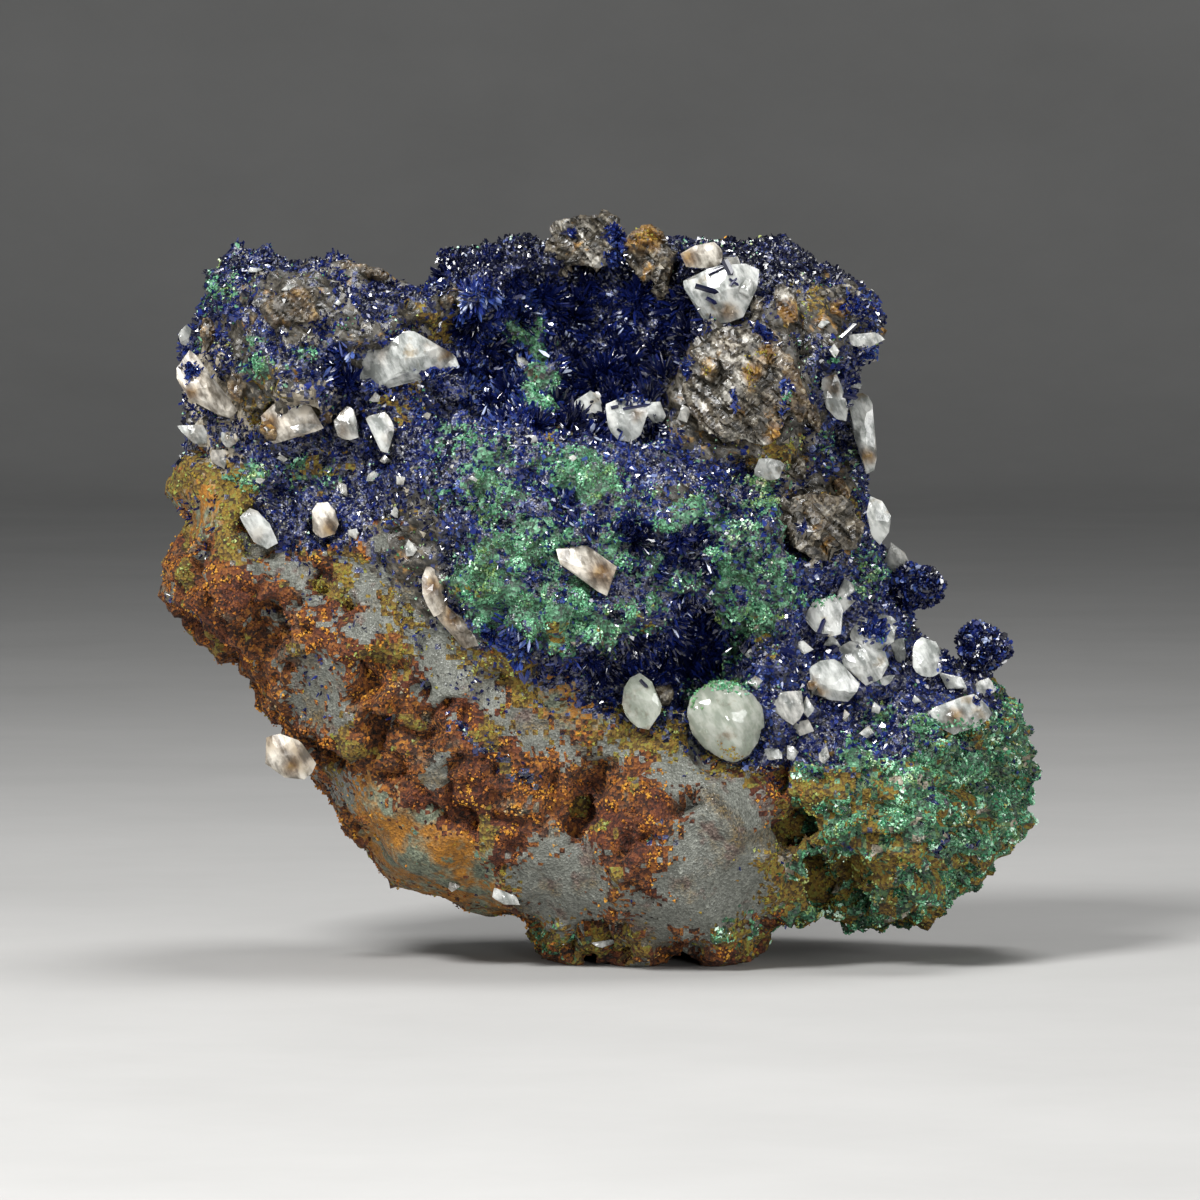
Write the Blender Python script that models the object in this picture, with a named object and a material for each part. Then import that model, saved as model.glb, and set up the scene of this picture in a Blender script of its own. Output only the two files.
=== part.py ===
"""A hand-sized mineral specimen: blue azurite and green malachite on iron-stained quartz rock.

The host rock is one solid. Its outline is lofted through rings set at several depths, a relief of
lumps and hollows gives its front and back, and every loose or inset crystal has a socket in it.
Lengths are in millimetres until they reach a mesh. X runs to the right, Y into the depth, Z up.
"""

import math
import random

import bmesh
import bpy
from mathutils import Matrix, Vector, noise
from mathutils.geometry import delaunay_2d_cdt

MM = 0.001
SEED = 7

# Driving sizes of the rock, in millimetres.
EDGE_REACH_FRONT = 12.5  # how far the front stands out at the rim of its outline
EDGE_REACH_BACK = 11.5
BULGE_FRONT = 7.0  # how much further it stands out in the middle
BULGE_BACK = 7.0
BULGE_LENGTH = 9.0  # the distance from the rim over which the bulge rises
FRONT_STEP = 2.35  # spacing of the points that carry the front's relief
BACK_STEP = 3.7
BREAK_STEP = 1.3  # height of the ledges that the rock breaks into
SOCKET_GAP = 0.32  # clearance between an inset crystal and the rock
ROUND_SOCKET_GAP = 0.42  # the same for rounded pieces, whose facets come closer
CRUST_GAP = 0.7  # how far a crust stands off, along Y, so that it clears slopes too
FOOT_HEIGHT = 2.3  # outline points lower than this are the foot
FOOT_MIDDLE = 5.0  # where the foot's middle is along X
FOOT_REACH_FRONT = 9.5
FOOT_REACH_BACK = 12.5
SOLE = -0.5  # the foot is modelled to here, then cut off level at 0

# The rock's outline, clockwise from its top left corner.
OUTLINE = [
    (-35.0, 71.0), (-32.7, 70.4), (-30.7, 69.6), (-28.7, 70.2), (-26.6, 70.3), (-24.8, 69.6),
    (-23.0, 68.8), (-20.5, 68.1), (-18.8, 67.2), (-17.6, 67.3), (-16.2, 68.8), (-16.5, 70.1),
    (-15.5, 71.0), (-11.5, 71.7), (-8.3, 72.3), (-5.5, 72.4), (-2.0, 72.3), (2.0, 72.2),
    (6.7, 72.2), (10.3, 72.2), (12.1, 71.8), (16.2, 71.8), (18.7, 72.3), (19.8, 71.4),
    (22.3, 69.6), (25.4, 67.7), (27.7, 66.0), (28.2, 63.2), (28.6, 62.0), (27.4, 60.2),
    (26.4, 59.2), (25.8, 57.0), (25.6, 54.0), (26.2, 51.0), (26.4, 48.2), (26.8, 45.0),
    (27.4, 42.3), (29.0, 40.6), (29.8, 38.6), (30.5, 36.0), (31.6, 33.0), (33.6, 31.4),
    (35.6, 30.3), (38.3, 29.3), (40.4, 27.0), (41.9, 24.4), (43.2, 22.8), (43.4, 21.2),
    (44.0, 19.1), (43.2, 17.3), (42.7, 14.8), (43.3, 13.0), (41.1, 10.7), (40.1, 9.0),
    (38.6, 7.7), (36.5, 6.5), (34.7, 6.1), (33.8, 4.8), (32.5, 3.5), (30.4, 3.2),
    (27.9, 3.2), (25.5, 3.3), (23.4, 4.1), (20.1, 4.3), (18.2, 4.2), (16.6, 2.6),
    (15.9, -0.4), (12.2, -0.6), (11.0, 1.3), (7.6, 1.4), (6.4, -0.5), (1.8, -0.8),
    (0.0, -0.5), (-1.6, 1.7), (-3.0, 1.6), (-4.2, -0.4), (-5.9, -0.4), (-6.8, 3.0),
    (-8.2, 4.0), (-11.0, 4.0), (-13.8, 4.9), (-15.4, 6.0), (-18.2, 6.3), (-20.7, 7.2),
    (-22.1, 8.6), (-23.3, 11.4), (-25.4, 12.8), (-25.9, 14.6), (-28.0, 17.3), (-30.6, 19.2),
    (-32.4, 21.4), (-33.3, 23.4), (-33.5, 26.0), (-34.2, 27.9), (-36.2, 29.4), (-38.6, 30.5),
    (-42.0, 33.6), (-43.7, 34.9), (-44.0, 36.4), (-42.9, 38.4), (-43.0, 40.0), (-41.5, 43.2),
    (-42.6, 44.9), (-44.0, 46.6), (-42.5, 49.0), (-41.0, 51.3), (-41.9, 54.0), (-41.5, 56.7),
    (-42.3, 59.0), (-41.7, 61.8), (-40.4, 63.6), (-39.4, 65.4), (-38.5, 67.6), (-37.0, 70.2),
]

# Each ring of the side: its depth as a share of the reach there (below 0 in front), how far it is
# set in, how much of the outline's raggedness it has lost, and how deep its own breaks are.
RINGS = [
    (-1.00, 3.4, 1.0, 0.6), (-0.84, 1.9, 1.0, 1.2), (-0.58, 0.8, 0.8, 1.4), (-0.28, 0.2, 0.4, 0.8),
    (0.00, 0.0, 0.0, 0.0),
    (0.28, 0.2, 0.5, 1.2), (0.58, 0.8, 0.9, 2.2), (0.84, 2.0, 1.0, 2.0), (1.00, 3.6, 1.0, 1.0),
]

# Lumps of the front: (x, z, half width, half height, how far it stands out, turn in degrees).
FRONT_LUMPS = [
    (-29.0, 62.5, 12.0, 8.5, 5.5, -12),  # the block at the top left
    (-9.0, 71.0, 9.0, 3.0, 2.0, 5),  # the lip over the hollow
    (-3.0, 42.0, 21.0, 12.0, 5.5, -14),  # the malachite-covered bulge
    (15.0, 45.0, 10.0, 8.0, 2.0, 0),
    (14.5, 58.5, 8.0, 9.0, 2.5, 20),  # under the large schist fragment
    (24.0, 64.5, 5.0, 5.5, 1.0, 0),
    (21.5, 43.5, 6.0, 6.0, 2.5, 0),
    (-38.5, 38.0, 6.0, 7.0, 2.5, 0),  # the rusty knob at the left
    (-20.0, 25.0, 22.0, 8.5, 2.5, -38),  # the long slope at the lower left
    (9.0, 11.5, 10.0, 10.5, 4.5, 0),  # the grey sandstone knob
    (-4.0, 9.0, 9.0, 6.0, 2.5, 0),
    (-20.0, 12.0, 7.0, 5.0, 2.0, -25),
    (33.0, 14.5, 11.0, 6.0, 2.0, 5),
    (32.0, 22.0, 9.0, 3.0, 1.6, 6),  # ledges of the green mass
    (31.0, 9.0, 8.0, 3.0, 1.2, 4),
    (-10.5, 33.5, 3.5, 9.0, 1.0, 50),
]

# Hollows of the front, in the same terms, with their depth.
FRONT_HOLLOWS = [
    (0.0, 62.5, 11.5, 9.5, 9.5, 0),  # the crystal-lined hollow
    (-13.0, 59.5, 6.0, 7.5, 6.0, 20),
    (-24.7, 57.0, 2.2, 4.0, 4.5, 15),  # the crack beside the white ledge
    (-28.0, 48.5, 12.0, 4.5, 2.2, -8),
    (9.5, 31.0, 6.5, 4.2, 7.5, 15),  # the dark cave under the bulge
    (0.0, 28.5, 9.0, 2.4, 3.0, -3),
    (24.3, 50.5, 3.4, 9.5, 4.0, 8),
    (27.5, 29.5, 9.0, 6.5, 2.5, -30),  # the bed of the quartz cluster
    (19.4, 14.4, 2.6, 2.2, 6.0, -20),  # holes between sandstone and green mass
    (23.4, 8.0, 3.4, 3.6, 8.5, 0),
    (17.5, 19.5, 2.2, 2.6, 3.0, 0),
    (-22.3, 21.8, 1.9, 2.9, 3.0, 15),
    (-16.0, 28.0, 5.0, 3.0, 1.2, -35),
    (40.0, 13.0, 8.0, 14.0, 5.0, 0),  # the right end falls back
    (36.0, 38.0, 8.0, 10.0, 3.0, 0),
]

BACK_LUMPS = [
    (6.0, 30.0, 26.0, 20.0, 4.0, 10),
    (20.0, 14.0, 14.0, 9.0, 4.0, 0),
    (-22.0, 52.0, 14.0, 12.0, 2.0, 20),
    (14.0, 60.0, 10.0, 8.0, 2.5, 0),
    (3.0, 6.0, 12.0, 7.0, 3.0, 0),
]

BACK_HOLLOWS = [
    (-20.0, 34.0, 10.0, 7.0, 4.0, -30),
    (-4.0, 58.0, 7.0, 9.0, 3.5, 10),
    (30.0, 30.0, 7.0, 6.0, 3.0, 0),
    (-34.0, 60.0, 7.0, 6.0, 2.0, 0),
]

# Crusts that line or coat the front, each inside a polygon of (x, z).
VUG_EDGE = [
    (-16.0, 64.0), (-13.0, 69.0), (-6.0, 70.0), (-1.0, 66.5), (4.5, 66.0), (6.4, 63.0),
    (5.6, 58.4), (3.6, 57.8), (-2.6, 57.8), (-6.0, 54.6), (-13.0, 55.0), (-16.0, 58.5),
]
GREEN_EDGE = [
    (-19.0, 51.5), (-11.0, 50.8), (-2.0, 50.5), (6.5, 50.0), (13.5, 47.0), (14.5, 40.0),
    (16.8, 35.0), (12.0, 34.5), (5.0, 35.0), (0.6, 31.6), (-5.0, 31.6), (-10.5, 34.8),
    (-13.2, 41.0), (-17.0, 45.0),
]

# Quartz pieces: (name, x, z, width, height, depth, turn, share standing out, corner cuts).
QUARTZ = [
    ("quartz_dome", 12.5, 24.1, 8.2, 8.6, 7.5, 8, 0.62, 18),
    ("quartz_on_ledge", -19.6, 59.8, 10.2, 4.2, 5.0, 12, 0.60, 9),
    ("quartz_rim_left", -39.0, 57.4, 3.8, 7.6, 5.0, 38, 0.45, 9),
    ("quartz_block_left", -31.2, 53.9, 7.0, 4.0, 4.6, 14, 0.55, 8),
    ("quartz_tooth_left", -25.4, 53.9, 2.6, 3.6, 3.0, 10, 0.65, 7),
    ("quartz_tooth_right", -21.9, 53.0, 2.6, 4.4, 3.0, -8, 0.65, 7),
    ("quartz_chip_low", -34.1, 43.1, 3.2, 4.6, 3.2, 28, 0.60, 8),
    ("quartz_chip_round", -27.6, 43.7, 3.0, 3.6, 3.0, 0, 0.55, 8),
    ("quartz_hollow_floor", 3.5, 54.1, 6.2, 3.8, 4.0, -6, 0.55, 8),
    ("quartz_top_white", 12.6, 66.6, 6.8, 5.4, 4.6, 12, 0.60, 9),
    ("quartz_top_yellow", 10.4, 70.9, 4.0, 2.6, 3.4, 10, 0.50, 8),
    ("quartz_spindle", 23.7, 57.0, 2.2, 6.6, 2.6, 14, 0.60, 8),
    ("quartz_plate_upper", 26.5, 53.4, 2.9, 8.4, 4.4, 4, 0.35, 8),
    ("quartz_plate_lower", 28.1, 44.3, 2.7, 5.2, 4.2, 12, 0.35, 8),
    ("quartz_cluster_back", 22.7, 33.7, 4.2, 5.2, 4.0, -14, 0.60, 8),
    ("quartz_cluster_top", 27.2, 31.9, 4.4, 4.6, 4.2, 20, 0.60, 8),
    ("quartz_cluster_front", 23.7, 27.9, 5.2, 3.8, 4.4, -16, 0.68, 8),
    ("quartz_cluster_right", 32.7, 30.4, 3.4, 4.2, 3.8, 10, 0.60, 8),
    ("quartz_cluster_low", 35.9, 24.4, 6.4, 3.4, 4.2, 14, 0.60, 8),
    ("quartz_small_clear", 4.2, 25.2, 4.0, 4.4, 3.6, 0, 0.60, 9),
    ("quartz_foot_left", -30.3, 19.8, 4.8, 4.6, 5.0, -14, 0.40, 8),
]

# Fragments of mica schist: (name, x, z, width, height, depth, turn, share standing out, detail).
SCHIST = [
    ("schist_large", 13.8, 57.6, 12.6, 13.2, 9.0, -26, 0.52, 3),
    ("schist_top_left", -1.5, 71.9, 7.6, 5.4, 8.0, 16, 0.40, 2),
    ("schist_top_right", 5.0, 70.4, 5.2, 6.6, 7.0, -14, 0.45, 2),
    ("schist_lower_right", 21.6, 43.7, 8.0, 6.8, 6.0, -30, 0.45, 2),
]

# Balls of radiating azurite blades: (name, x, z, width, height, depth, turn, depth of the centre).
ROSETTES = [
    ("azurite_ball_upper", 31.6, 37.4, 7.0, 4.6, 6.0, 38, -3.0),
    ("azurite_ball_lower", 38.3, 31.4, 6.0, 5.8, 6.2, 0, -3.0),
]


def material(name, colour, roughness, metallic=0.0):
    """A Principled material with an sRGB colour of three bytes."""
    made = bpy.data.materials.new(name)
    made.use_nodes = True
    shader = made.node_tree.nodes["Principled BSDF"]
    linear = [(byte / 255) ** 2.2 for byte in colour]
    shader.inputs["Base Color"].default_value = (*linear, 1.0)
    shader.inputs["Roughness"].default_value = roughness
    shader.inputs["Metallic"].default_value = metallic
    made.diffuse_color = (*linear, 1.0)
    return made


def make_object(name, bm, finish):
    """A linked object holding the mesh, which is built in millimetres."""
    bmesh.ops.recalc_face_normals(bm, faces=bm.faces)
    mesh = bpy.data.meshes.new(name)
    bm.to_mesh(mesh)
    bm.free()
    mesh.transform(Matrix.Scale(MM, 4))
    mesh.materials.append(finish)
    made = bpy.data.objects.new(name, mesh)
    bpy.context.scene.collection.objects.link(made)
    return made


def bump_value(x, z, bump):
    """A lump with a broad top and steep sides."""
    centre_x, centre_z, half_width, half_height, height, turn = bump
    angle = math.radians(turn)
    along = (x - centre_x) * math.cos(angle) + (z - centre_z) * math.sin(angle)
    across = (z - centre_z) * math.cos(angle) - (x - centre_x) * math.sin(angle)
    share = (along / half_width) ** 2 + (across / half_height) ** 2
    return height * (1 - share**1.6) if share < 1 else 0.0


def roughness_at(x, z, side):
    """Uneven breaks of the rock: broad ones with sharper ones on top, part of them in steps."""
    broad = noise.noise(Vector((x / 9, side * 5.0, z / 9)))
    sharp = noise.noise(Vector((x / 3.6, side * 11.0, z / 3.6)))
    height = 1.8 * broad + 1.1 * sharp
    return 0.45 * height + 0.55 * BREAK_STEP * round(height / BREAK_STEP)


def front_reach(x, z, inside):
    """How far the front stands out from the mid-plane, inside being the distance from the rim."""
    reach = EDGE_REACH_FRONT + BULGE_FRONT * (1 - math.exp(-inside / BULGE_LENGTH))
    reach += sum(bump_value(x, z, bump) for bump in FRONT_LUMPS)
    reach -= sum(bump_value(x, z, bump) for bump in FRONT_HOLLOWS)
    return max(reach + roughness_at(x, z, -1), 3.0)


def back_reach(x, z, inside):
    reach = EDGE_REACH_BACK + BULGE_BACK * (1 - math.exp(-inside / BULGE_LENGTH))
    reach += sum(bump_value(x, z, bump) for bump in BACK_LUMPS)
    reach -= sum(bump_value(x, z, bump) for bump in BACK_HOLLOWS)
    return max(reach + 1.3 * roughness_at(x, z, 1), 3.0)


def smoothed(points, passes):
    """The closed line of points, each pass pulling every point halfway to its neighbours' middle."""
    for _ in range(passes):
        count = len(points)
        points = [
            (points[i] * 2 + points[i - 1] + points[(i + 1) % count]) / 4 for i in range(count)
        ]
    return points


def wall_ring(share, inset, softness, breaks):
    """The outline as it is at one depth of the side: set in, smoothed and broken."""
    line = [Vector(p) for p in OUTLINE]
    soft = smoothed(line, 6)
    count = len(line)
    ring = []
    for i, point in enumerate(line):
        if point.y < FOOT_HEIGHT:
            narrower = 1 - 0.3 * share * share
            sole = Vector((FOOT_MIDDLE + (point.x - FOOT_MIDDLE) * narrower, point.y))
            sole.y = point.y if share <= 0 else SOLE
            ring.append(sole)
            continue
        run = soft[(i + 1) % count] - soft[i - 1]
        inward = Vector((run.y, -run.x)).normalized()
        notch = 0.5 + noise.noise(Vector((point.x / 7, share * 2.5, point.y / 7)))
        notch += 0.5 * noise.noise(Vector((point.x / 3, share * 6, point.y / 3)))
        ring.append(point.lerp(soft[i], softness) + inward * (inset + breaks * max(notch, 0.0)))
    return ring


def wall_depth(share, point):
    """How deep a ring's point lies."""
    if point.y < FOOT_HEIGHT:
        return share * (FOOT_REACH_FRONT if share < 0 else FOOT_REACH_BACK)
    reach_at = front_reach if share < 0 else back_reach
    return share * reach_at(point.x, point.y, 0)


def distance_to_line(point, line):
    """The shortest distance from a point to a closed line."""
    best = math.inf
    for i, start in enumerate(line):
        run = line[(i + 1) % len(line)] - start
        share = max(0.0, min(1.0, (point - start).dot(run) / run.length_squared))
        best = min(best, (point - start - run * share).length)
    return best


def is_inside(point, line):
    """Whether a point lies inside a closed line, by counting crossings."""
    inside = False
    for i, a in enumerate(line):
        b = line[i - 1]
        if (a.y > point.y) != (b.y > point.y):
            if point.x < (b.x - a.x) * (point.y - a.y) / (b.y - a.y) + a.x:
                inside = not inside
    return inside


def cap_mesh(ring, step, draw):
    """Points and triangles that fill a ring with an uneven grid. The ring's points come first."""
    keep_off = 0.55 * step
    low_x, high_x = min(p.x for p in ring), max(p.x for p in ring)
    low_z, high_z = min(p.y for p in ring), max(p.y for p in ring)
    points = list(ring)
    for row in range(int((high_z - low_z) / (step * 0.87)) + 1):
        for column in range(int((high_x - low_x) / step) + 2):
            spot = Vector((low_x + (column + 0.5 * (row % 2)) * step, low_z + row * step * 0.87))
            spot += Vector((draw.uniform(-0.22, 0.22), draw.uniform(-0.22, 0.22))) * step
            if is_inside(spot, ring) and distance_to_line(spot, ring) > keep_off:
                points.append(spot)
    filled = delaunay_2d_cdt(points, [], [list(range(len(ring)))], 1, 1e-6)
    if len(filled[0]) != len(points):
        raise ValueError("a ring crosses itself, so its cap can't be filled")
    return points, [tuple(corners) for corners in filled[2]]


def build_rock(finish):
    """The host rock, with the front's points and triangles for the crusts that lie on it."""
    draw = random.Random(SEED)
    rings = [wall_ring(*ring) for ring in RINGS]
    bm = bmesh.new()
    levels = []
    for (share, *_), ring in zip(RINGS, rings):
        levels.append([bm.verts.new((p.x, wall_depth(share, p), p.y)) for p in ring])
    for lower, upper in zip(levels, levels[1:]):
        for i in range(len(lower)):
            bm.faces.new((lower[i - 1], lower[i], upper[i], upper[i - 1]))
    caps = []
    for level, ring, step, side, reach_at in (
        (levels[0], rings[0], FRONT_STEP, -1, front_reach),
        (levels[-1], rings[-1], BACK_STEP, 1, back_reach),
    ):
        points, triangles = cap_mesh(ring, step, draw)
        verts = list(level)
        for p in points[len(ring):]:
            inside = distance_to_line(p, ring)
            verts.append(bm.verts.new((p.x, side * reach_at(p.x, p.y, inside), p.y)))
        for corners in triangles:
            bm.faces.new([verts[i] for i in corners])
        caps.append(([v.co.copy() for v in verts], triangles))
    bmesh.ops.triangulate(bm, faces=bm.faces)
    stand_flat(bm)
    return make_object("host_rock", bm, finish), caps[0]


def stand_flat(bm):
    """Cuts the feet off level at the ground."""
    geometry = bm.verts[:] + bm.edges[:] + bm.faces[:]
    cut = bmesh.ops.bisect_plane(
        bm, geom=geometry, plane_co=(0, 0, 0), plane_no=(0, 0, -1), clear_outer=True
    )
    edges = [e for e in cut["geom_cut"] if isinstance(e, bmesh.types.BMEdge)]
    bmesh.ops.holes_fill(bm, edges=edges, sides=0)
    bmesh.ops.triangulate(bm, faces=bm.faces)


def front_surface(cap, x, z):
    """The depth of the front at a place, read from the triangle that holds it."""
    spot = Vector((x, z))
    points, triangles = cap
    for corners in triangles:
        a, b, c = (Vector((points[i].x, points[i].z)) for i in corners)
        weights = flat_weights(spot, a, b, c)
        if min(weights) >= -1e-6:
            return sum(w * points[i].y for w, i in zip(weights, corners))
    return min(points, key=lambda p: (Vector((p.x, p.z)) - spot).length).y


def flat_weights(spot, a, b, c):
    """Barycentric weights of a spot in a flat triangle."""
    area = (b - a).cross(c - a)
    weight_b = (spot - a).cross(c - a) / area
    weight_c = (b - a).cross(spot - a) / area
    return 1 - weight_b - weight_c, weight_b, weight_c


def cleaved_block(half_sizes, cuts, seed, grow=0.0):
    """A block with flat cleavage faces: a box whose corners are cut by planes, all moved out by grow."""
    draw = random.Random(seed)
    bm = bmesh.new()
    bmesh.ops.create_cube(bm, size=2.0)
    for v in bm.verts:
        v.co = Vector(c * (h + grow) for c, h in zip(v.co, half_sizes))
    for i in range(cuts):
        turn = 2 * math.pi * (i + draw.uniform(-0.3, 0.3)) / cuts
        lift = draw.choice((-0.75, -0.35, 0.0, 0.35, 0.75))
        normal = Vector((math.cos(turn), lift, math.sin(turn))).normalized()
        reach = Vector(abs(n) * h for n, h in zip(normal, half_sizes)).length
        place = reach * draw.uniform(0.84, 1.0) + grow
        geometry = bm.verts[:] + bm.edges[:] + bm.faces[:]
        cut = bmesh.ops.bisect_plane(
            bm, geom=geometry, plane_co=normal * place, plane_no=normal, clear_outer=True
        )
        edges = [e for e in cut["geom_cut"] if isinstance(e, bmesh.types.BMEdge)]
        bmesh.ops.holes_fill(bm, edges=edges, sides=0)
    bmesh.ops.remove_doubles(bm, verts=bm.verts, dist=0.01)
    bmesh.ops.triangulate(bm, faces=bm.faces)
    return bm


def broken_lump(half_sizes, detail, seed, grow=0.0):
    """A lump of schist: a rounded body with stepped, uneven breaks."""
    bm = bmesh.new()
    bmesh.ops.create_icosphere(bm, subdivisions=detail, radius=1.0)
    for v in bm.verts:
        direction = v.co.normalized()
        swell = 1 + 0.2 * noise.noise(direction * 1.7 + Vector((seed, 0, 0)))
        swell = round(swell / 0.05) * 0.05
        v.co = Vector(d * (h * swell + grow) for d, h in zip(direction, half_sizes))
    return bm


def blade_ball(half_sizes, grow=None):
    """A ball of radiating blades, each a flat-sided point. With grow it is the plain ball round it."""
    bm = bmesh.new()
    bmesh.ops.create_icosphere(bm, subdivisions=2, radius=0.8 if grow is None else 1.03)
    if grow is None:
        bmesh.ops.poke(bm, faces=bm.faces[:], offset=0.22, use_relative_offset=False)
    for v in bm.verts:
        direction = v.co.normalized()
        v.co = Vector(c * h + d * (grow or 0.0) for c, h, d in zip(v.co, half_sizes, direction))
    return bm


def place(bm, x, y, z, turn):
    """Turns a piece in the face's plane, then moves it to its place."""
    bmesh.ops.rotate(
        bm, verts=bm.verts, cent=(0, 0, 0), matrix=Matrix.Rotation(-math.radians(turn), 3, "Y")
    )
    bmesh.ops.translate(bm, verts=bm.verts, vec=(x, y, z))


def cut_socket(target, cutter):
    """A Boolean difference, whose cutter stays in the file as a hidden helper."""
    cutter.hide_render = True
    cutter.display_type = "WIRE"
    modifier = target.modifiers.new("socket " + cutter.name, "BOOLEAN")
    modifier.operation = "DIFFERENCE"
    modifier.solver = "EXACT"
    modifier.object = cutter


def inset_pieces(rock, cap, finishes):
    """Every separate crystal and fragment, each with its socket in the rock."""
    for i, (name, x, z, width, height, depth, turn, proud, cuts) in enumerate(QUARTZ):
        y = front_surface(cap, x, z) + depth * (0.5 - proud)
        halves = (width / 2, depth / 2, height / 2)
        for label, finish, grow in ((name, "quartz", 0.0), ("socket_" + name, "rock", SOCKET_GAP)):
            bm = cleaved_block(halves, cuts, SEED + i, grow)
            place(bm, x, y, z, turn)
            made = make_object(label, bm, finishes[finish])
        cut_socket(rock, made)
    for i, (name, x, z, width, height, depth, turn, proud, detail) in enumerate(SCHIST):
        y = front_surface(cap, x, z) + depth * (0.5 - proud)
        halves = (width / 2, depth / 2, height / 2)
        for label, finish, grow in (
            (name, "schist", 0.0),
            ("socket_" + name, "rock", ROUND_SOCKET_GAP),
        ):
            bm = broken_lump(halves, detail, SEED + i, grow)
            place(bm, x, y, z, turn)
            made = make_object(label, bm, finishes[finish])
        cut_socket(rock, made)
    for name, x, z, width, height, depth, turn, y in ROSETTES:
        halves = (width / 2, depth / 2, height / 2)
        for label, finish, grow in (
            (name, "azurite", None),
            ("socket_" + name, "rock", ROUND_SOCKET_GAP),
        ):
            bm = blade_ball(halves, grow)
            place(bm, x, y, z, turn)
            made = make_object(label, bm, finishes[finish])
        cut_socket(rock, made)


def joined_patch(triangles):
    """The triangles reached from the first one across shared edges."""
    by_edge = {}
    for corners in triangles:
        for i in range(3):
            by_edge.setdefault(frozenset((corners[i], corners[i - 1])), []).append(corners)
    reached, waiting = [], [triangles[0]]
    seen = {tuple(triangles[0])}
    while waiting:
        corners = waiting.pop()
        reached.append(corners)
        for i in range(3):
            for other in by_edge[frozenset((corners[i], corners[i - 1]))]:
                if tuple(other) not in seen:
                    seen.add(tuple(other))
                    waiting.append(other)
    return reached


def one_patch(triangles):
    """The largest patch of the triangles that has no point where it only touches itself."""
    left, patches = list(triangles), []
    while left:
        patches.append(joined_patch(left))
        left = [corners for corners in left if corners not in patches[-1]]
    best = max(patches, key=len)
    for point in sorted({i for corners in best for i in corners}):
        fan = [corners for corners in best if point in corners]
        if len(joined_patch(fan)) < len(fan):
            kept = joined_patch(fan)
            return one_patch([c for c in best if c not in fan or c in kept])
    return best


def crust(name, cap, edge, thickness, crystal, finish):
    """A skin of crystals over the part of the front inside an edge, a gap clear of the rock."""
    points, triangles = cap
    edge_line = [Vector(p) for p in edge]
    chosen = []
    for corners in triangles:
        middle = sum((Vector((points[i].x, points[i].z)) for i in corners), Vector((0, 0))) / 3
        if is_inside(middle, edge_line):
            chosen.append(corners)
    chosen = one_patch(chosen)
    bm = bmesh.new()
    under, over = {}, {}
    for i in sorted({i for corners in chosen for i in corners}):
        p = points[i]
        under[i] = bm.verts.new((p.x, p.y - CRUST_GAP, p.z))
        over[i] = bm.verts.new((p.x, p.y - CRUST_GAP - thickness, p.z))
    tops = []
    runs = [(a, b) for corners in chosen for a, b in zip(corners, corners[1:] + corners[:1])]
    for a, b, c in chosen:
        bm.faces.new((under[c], under[b], under[a]))
        tops.append(bm.faces.new((over[a], over[b], over[c])))
    for start, end in runs:
        if (end, start) not in runs:
            bm.faces.new((under[start], under[end], over[end], over[start]))
    bmesh.ops.recalc_face_normals(bm, faces=bm.faces)
    bmesh.ops.poke(bm, faces=tops, offset=crystal, use_relative_offset=False)
    bmesh.ops.triangulate(bm, faces=bm.faces)
    return make_object(name, bm, finish)


def centre_on_origin(objects):
    """Moves everything so that the ground is at 0 and the whole box is centred over the origin."""
    bpy.context.view_layer.update()
    graph = bpy.context.evaluated_depsgraph_get()
    corners = []
    for made in objects:
        if not made.hide_render:
            seen = made.evaluated_get(graph)
            corners += [seen.matrix_world @ Vector(corner) for corner in seen.bound_box]
    middle_x = (min(c.x for c in corners) + max(c.x for c in corners)) / 2
    middle_y = (min(c.y for c in corners) + max(c.y for c in corners)) / 2
    lowest = min(c.z for c in corners)
    for made in objects:
        made.location = (-middle_x, -middle_y, -lowest)


def main():
    for old in list(bpy.data.objects):
        bpy.data.objects.remove(old)
    finishes = {
        "rock": material("iron_stained_rock", (128, 88, 52), 0.9),
        "azurite": material("azurite", (22, 26, 110), 0.2),
        "malachite": material("malachite", (58, 140, 92), 0.6),
        "quartz": material("milky_quartz", (214, 214, 206), 0.25),
        "schist": material("mica_schist", (124, 112, 92), 0.6),
    }
    rock, cap = build_rock(finishes["rock"])
    inset_pieces(rock, cap, finishes)
    crust("azurite_hollow_crust", cap, VUG_EDGE, 0.8, 0.8, finishes["azurite"])
    crust("malachite_crust", cap, GREEN_EDGE, 0.7, 0.35, finishes["malachite"])
    centre_on_origin(list(bpy.data.objects))


main()
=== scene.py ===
"""The looks of an azurite specimen: blades, tufts and grains on a rusty rock, with broken quartz.

Lengths below are in millimetres until they reach a mesh. A place on the rock's face is given as
(x, z) in the upright plane through the rock's middle, as the camera sees it.
"""

import itertools
import math

import bpy
import numpy as np
from mathutils import Matrix, Vector
from mathutils.bvhtree import BVHTree
from mathutils.geometry import delaunay_2d_cdt


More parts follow.
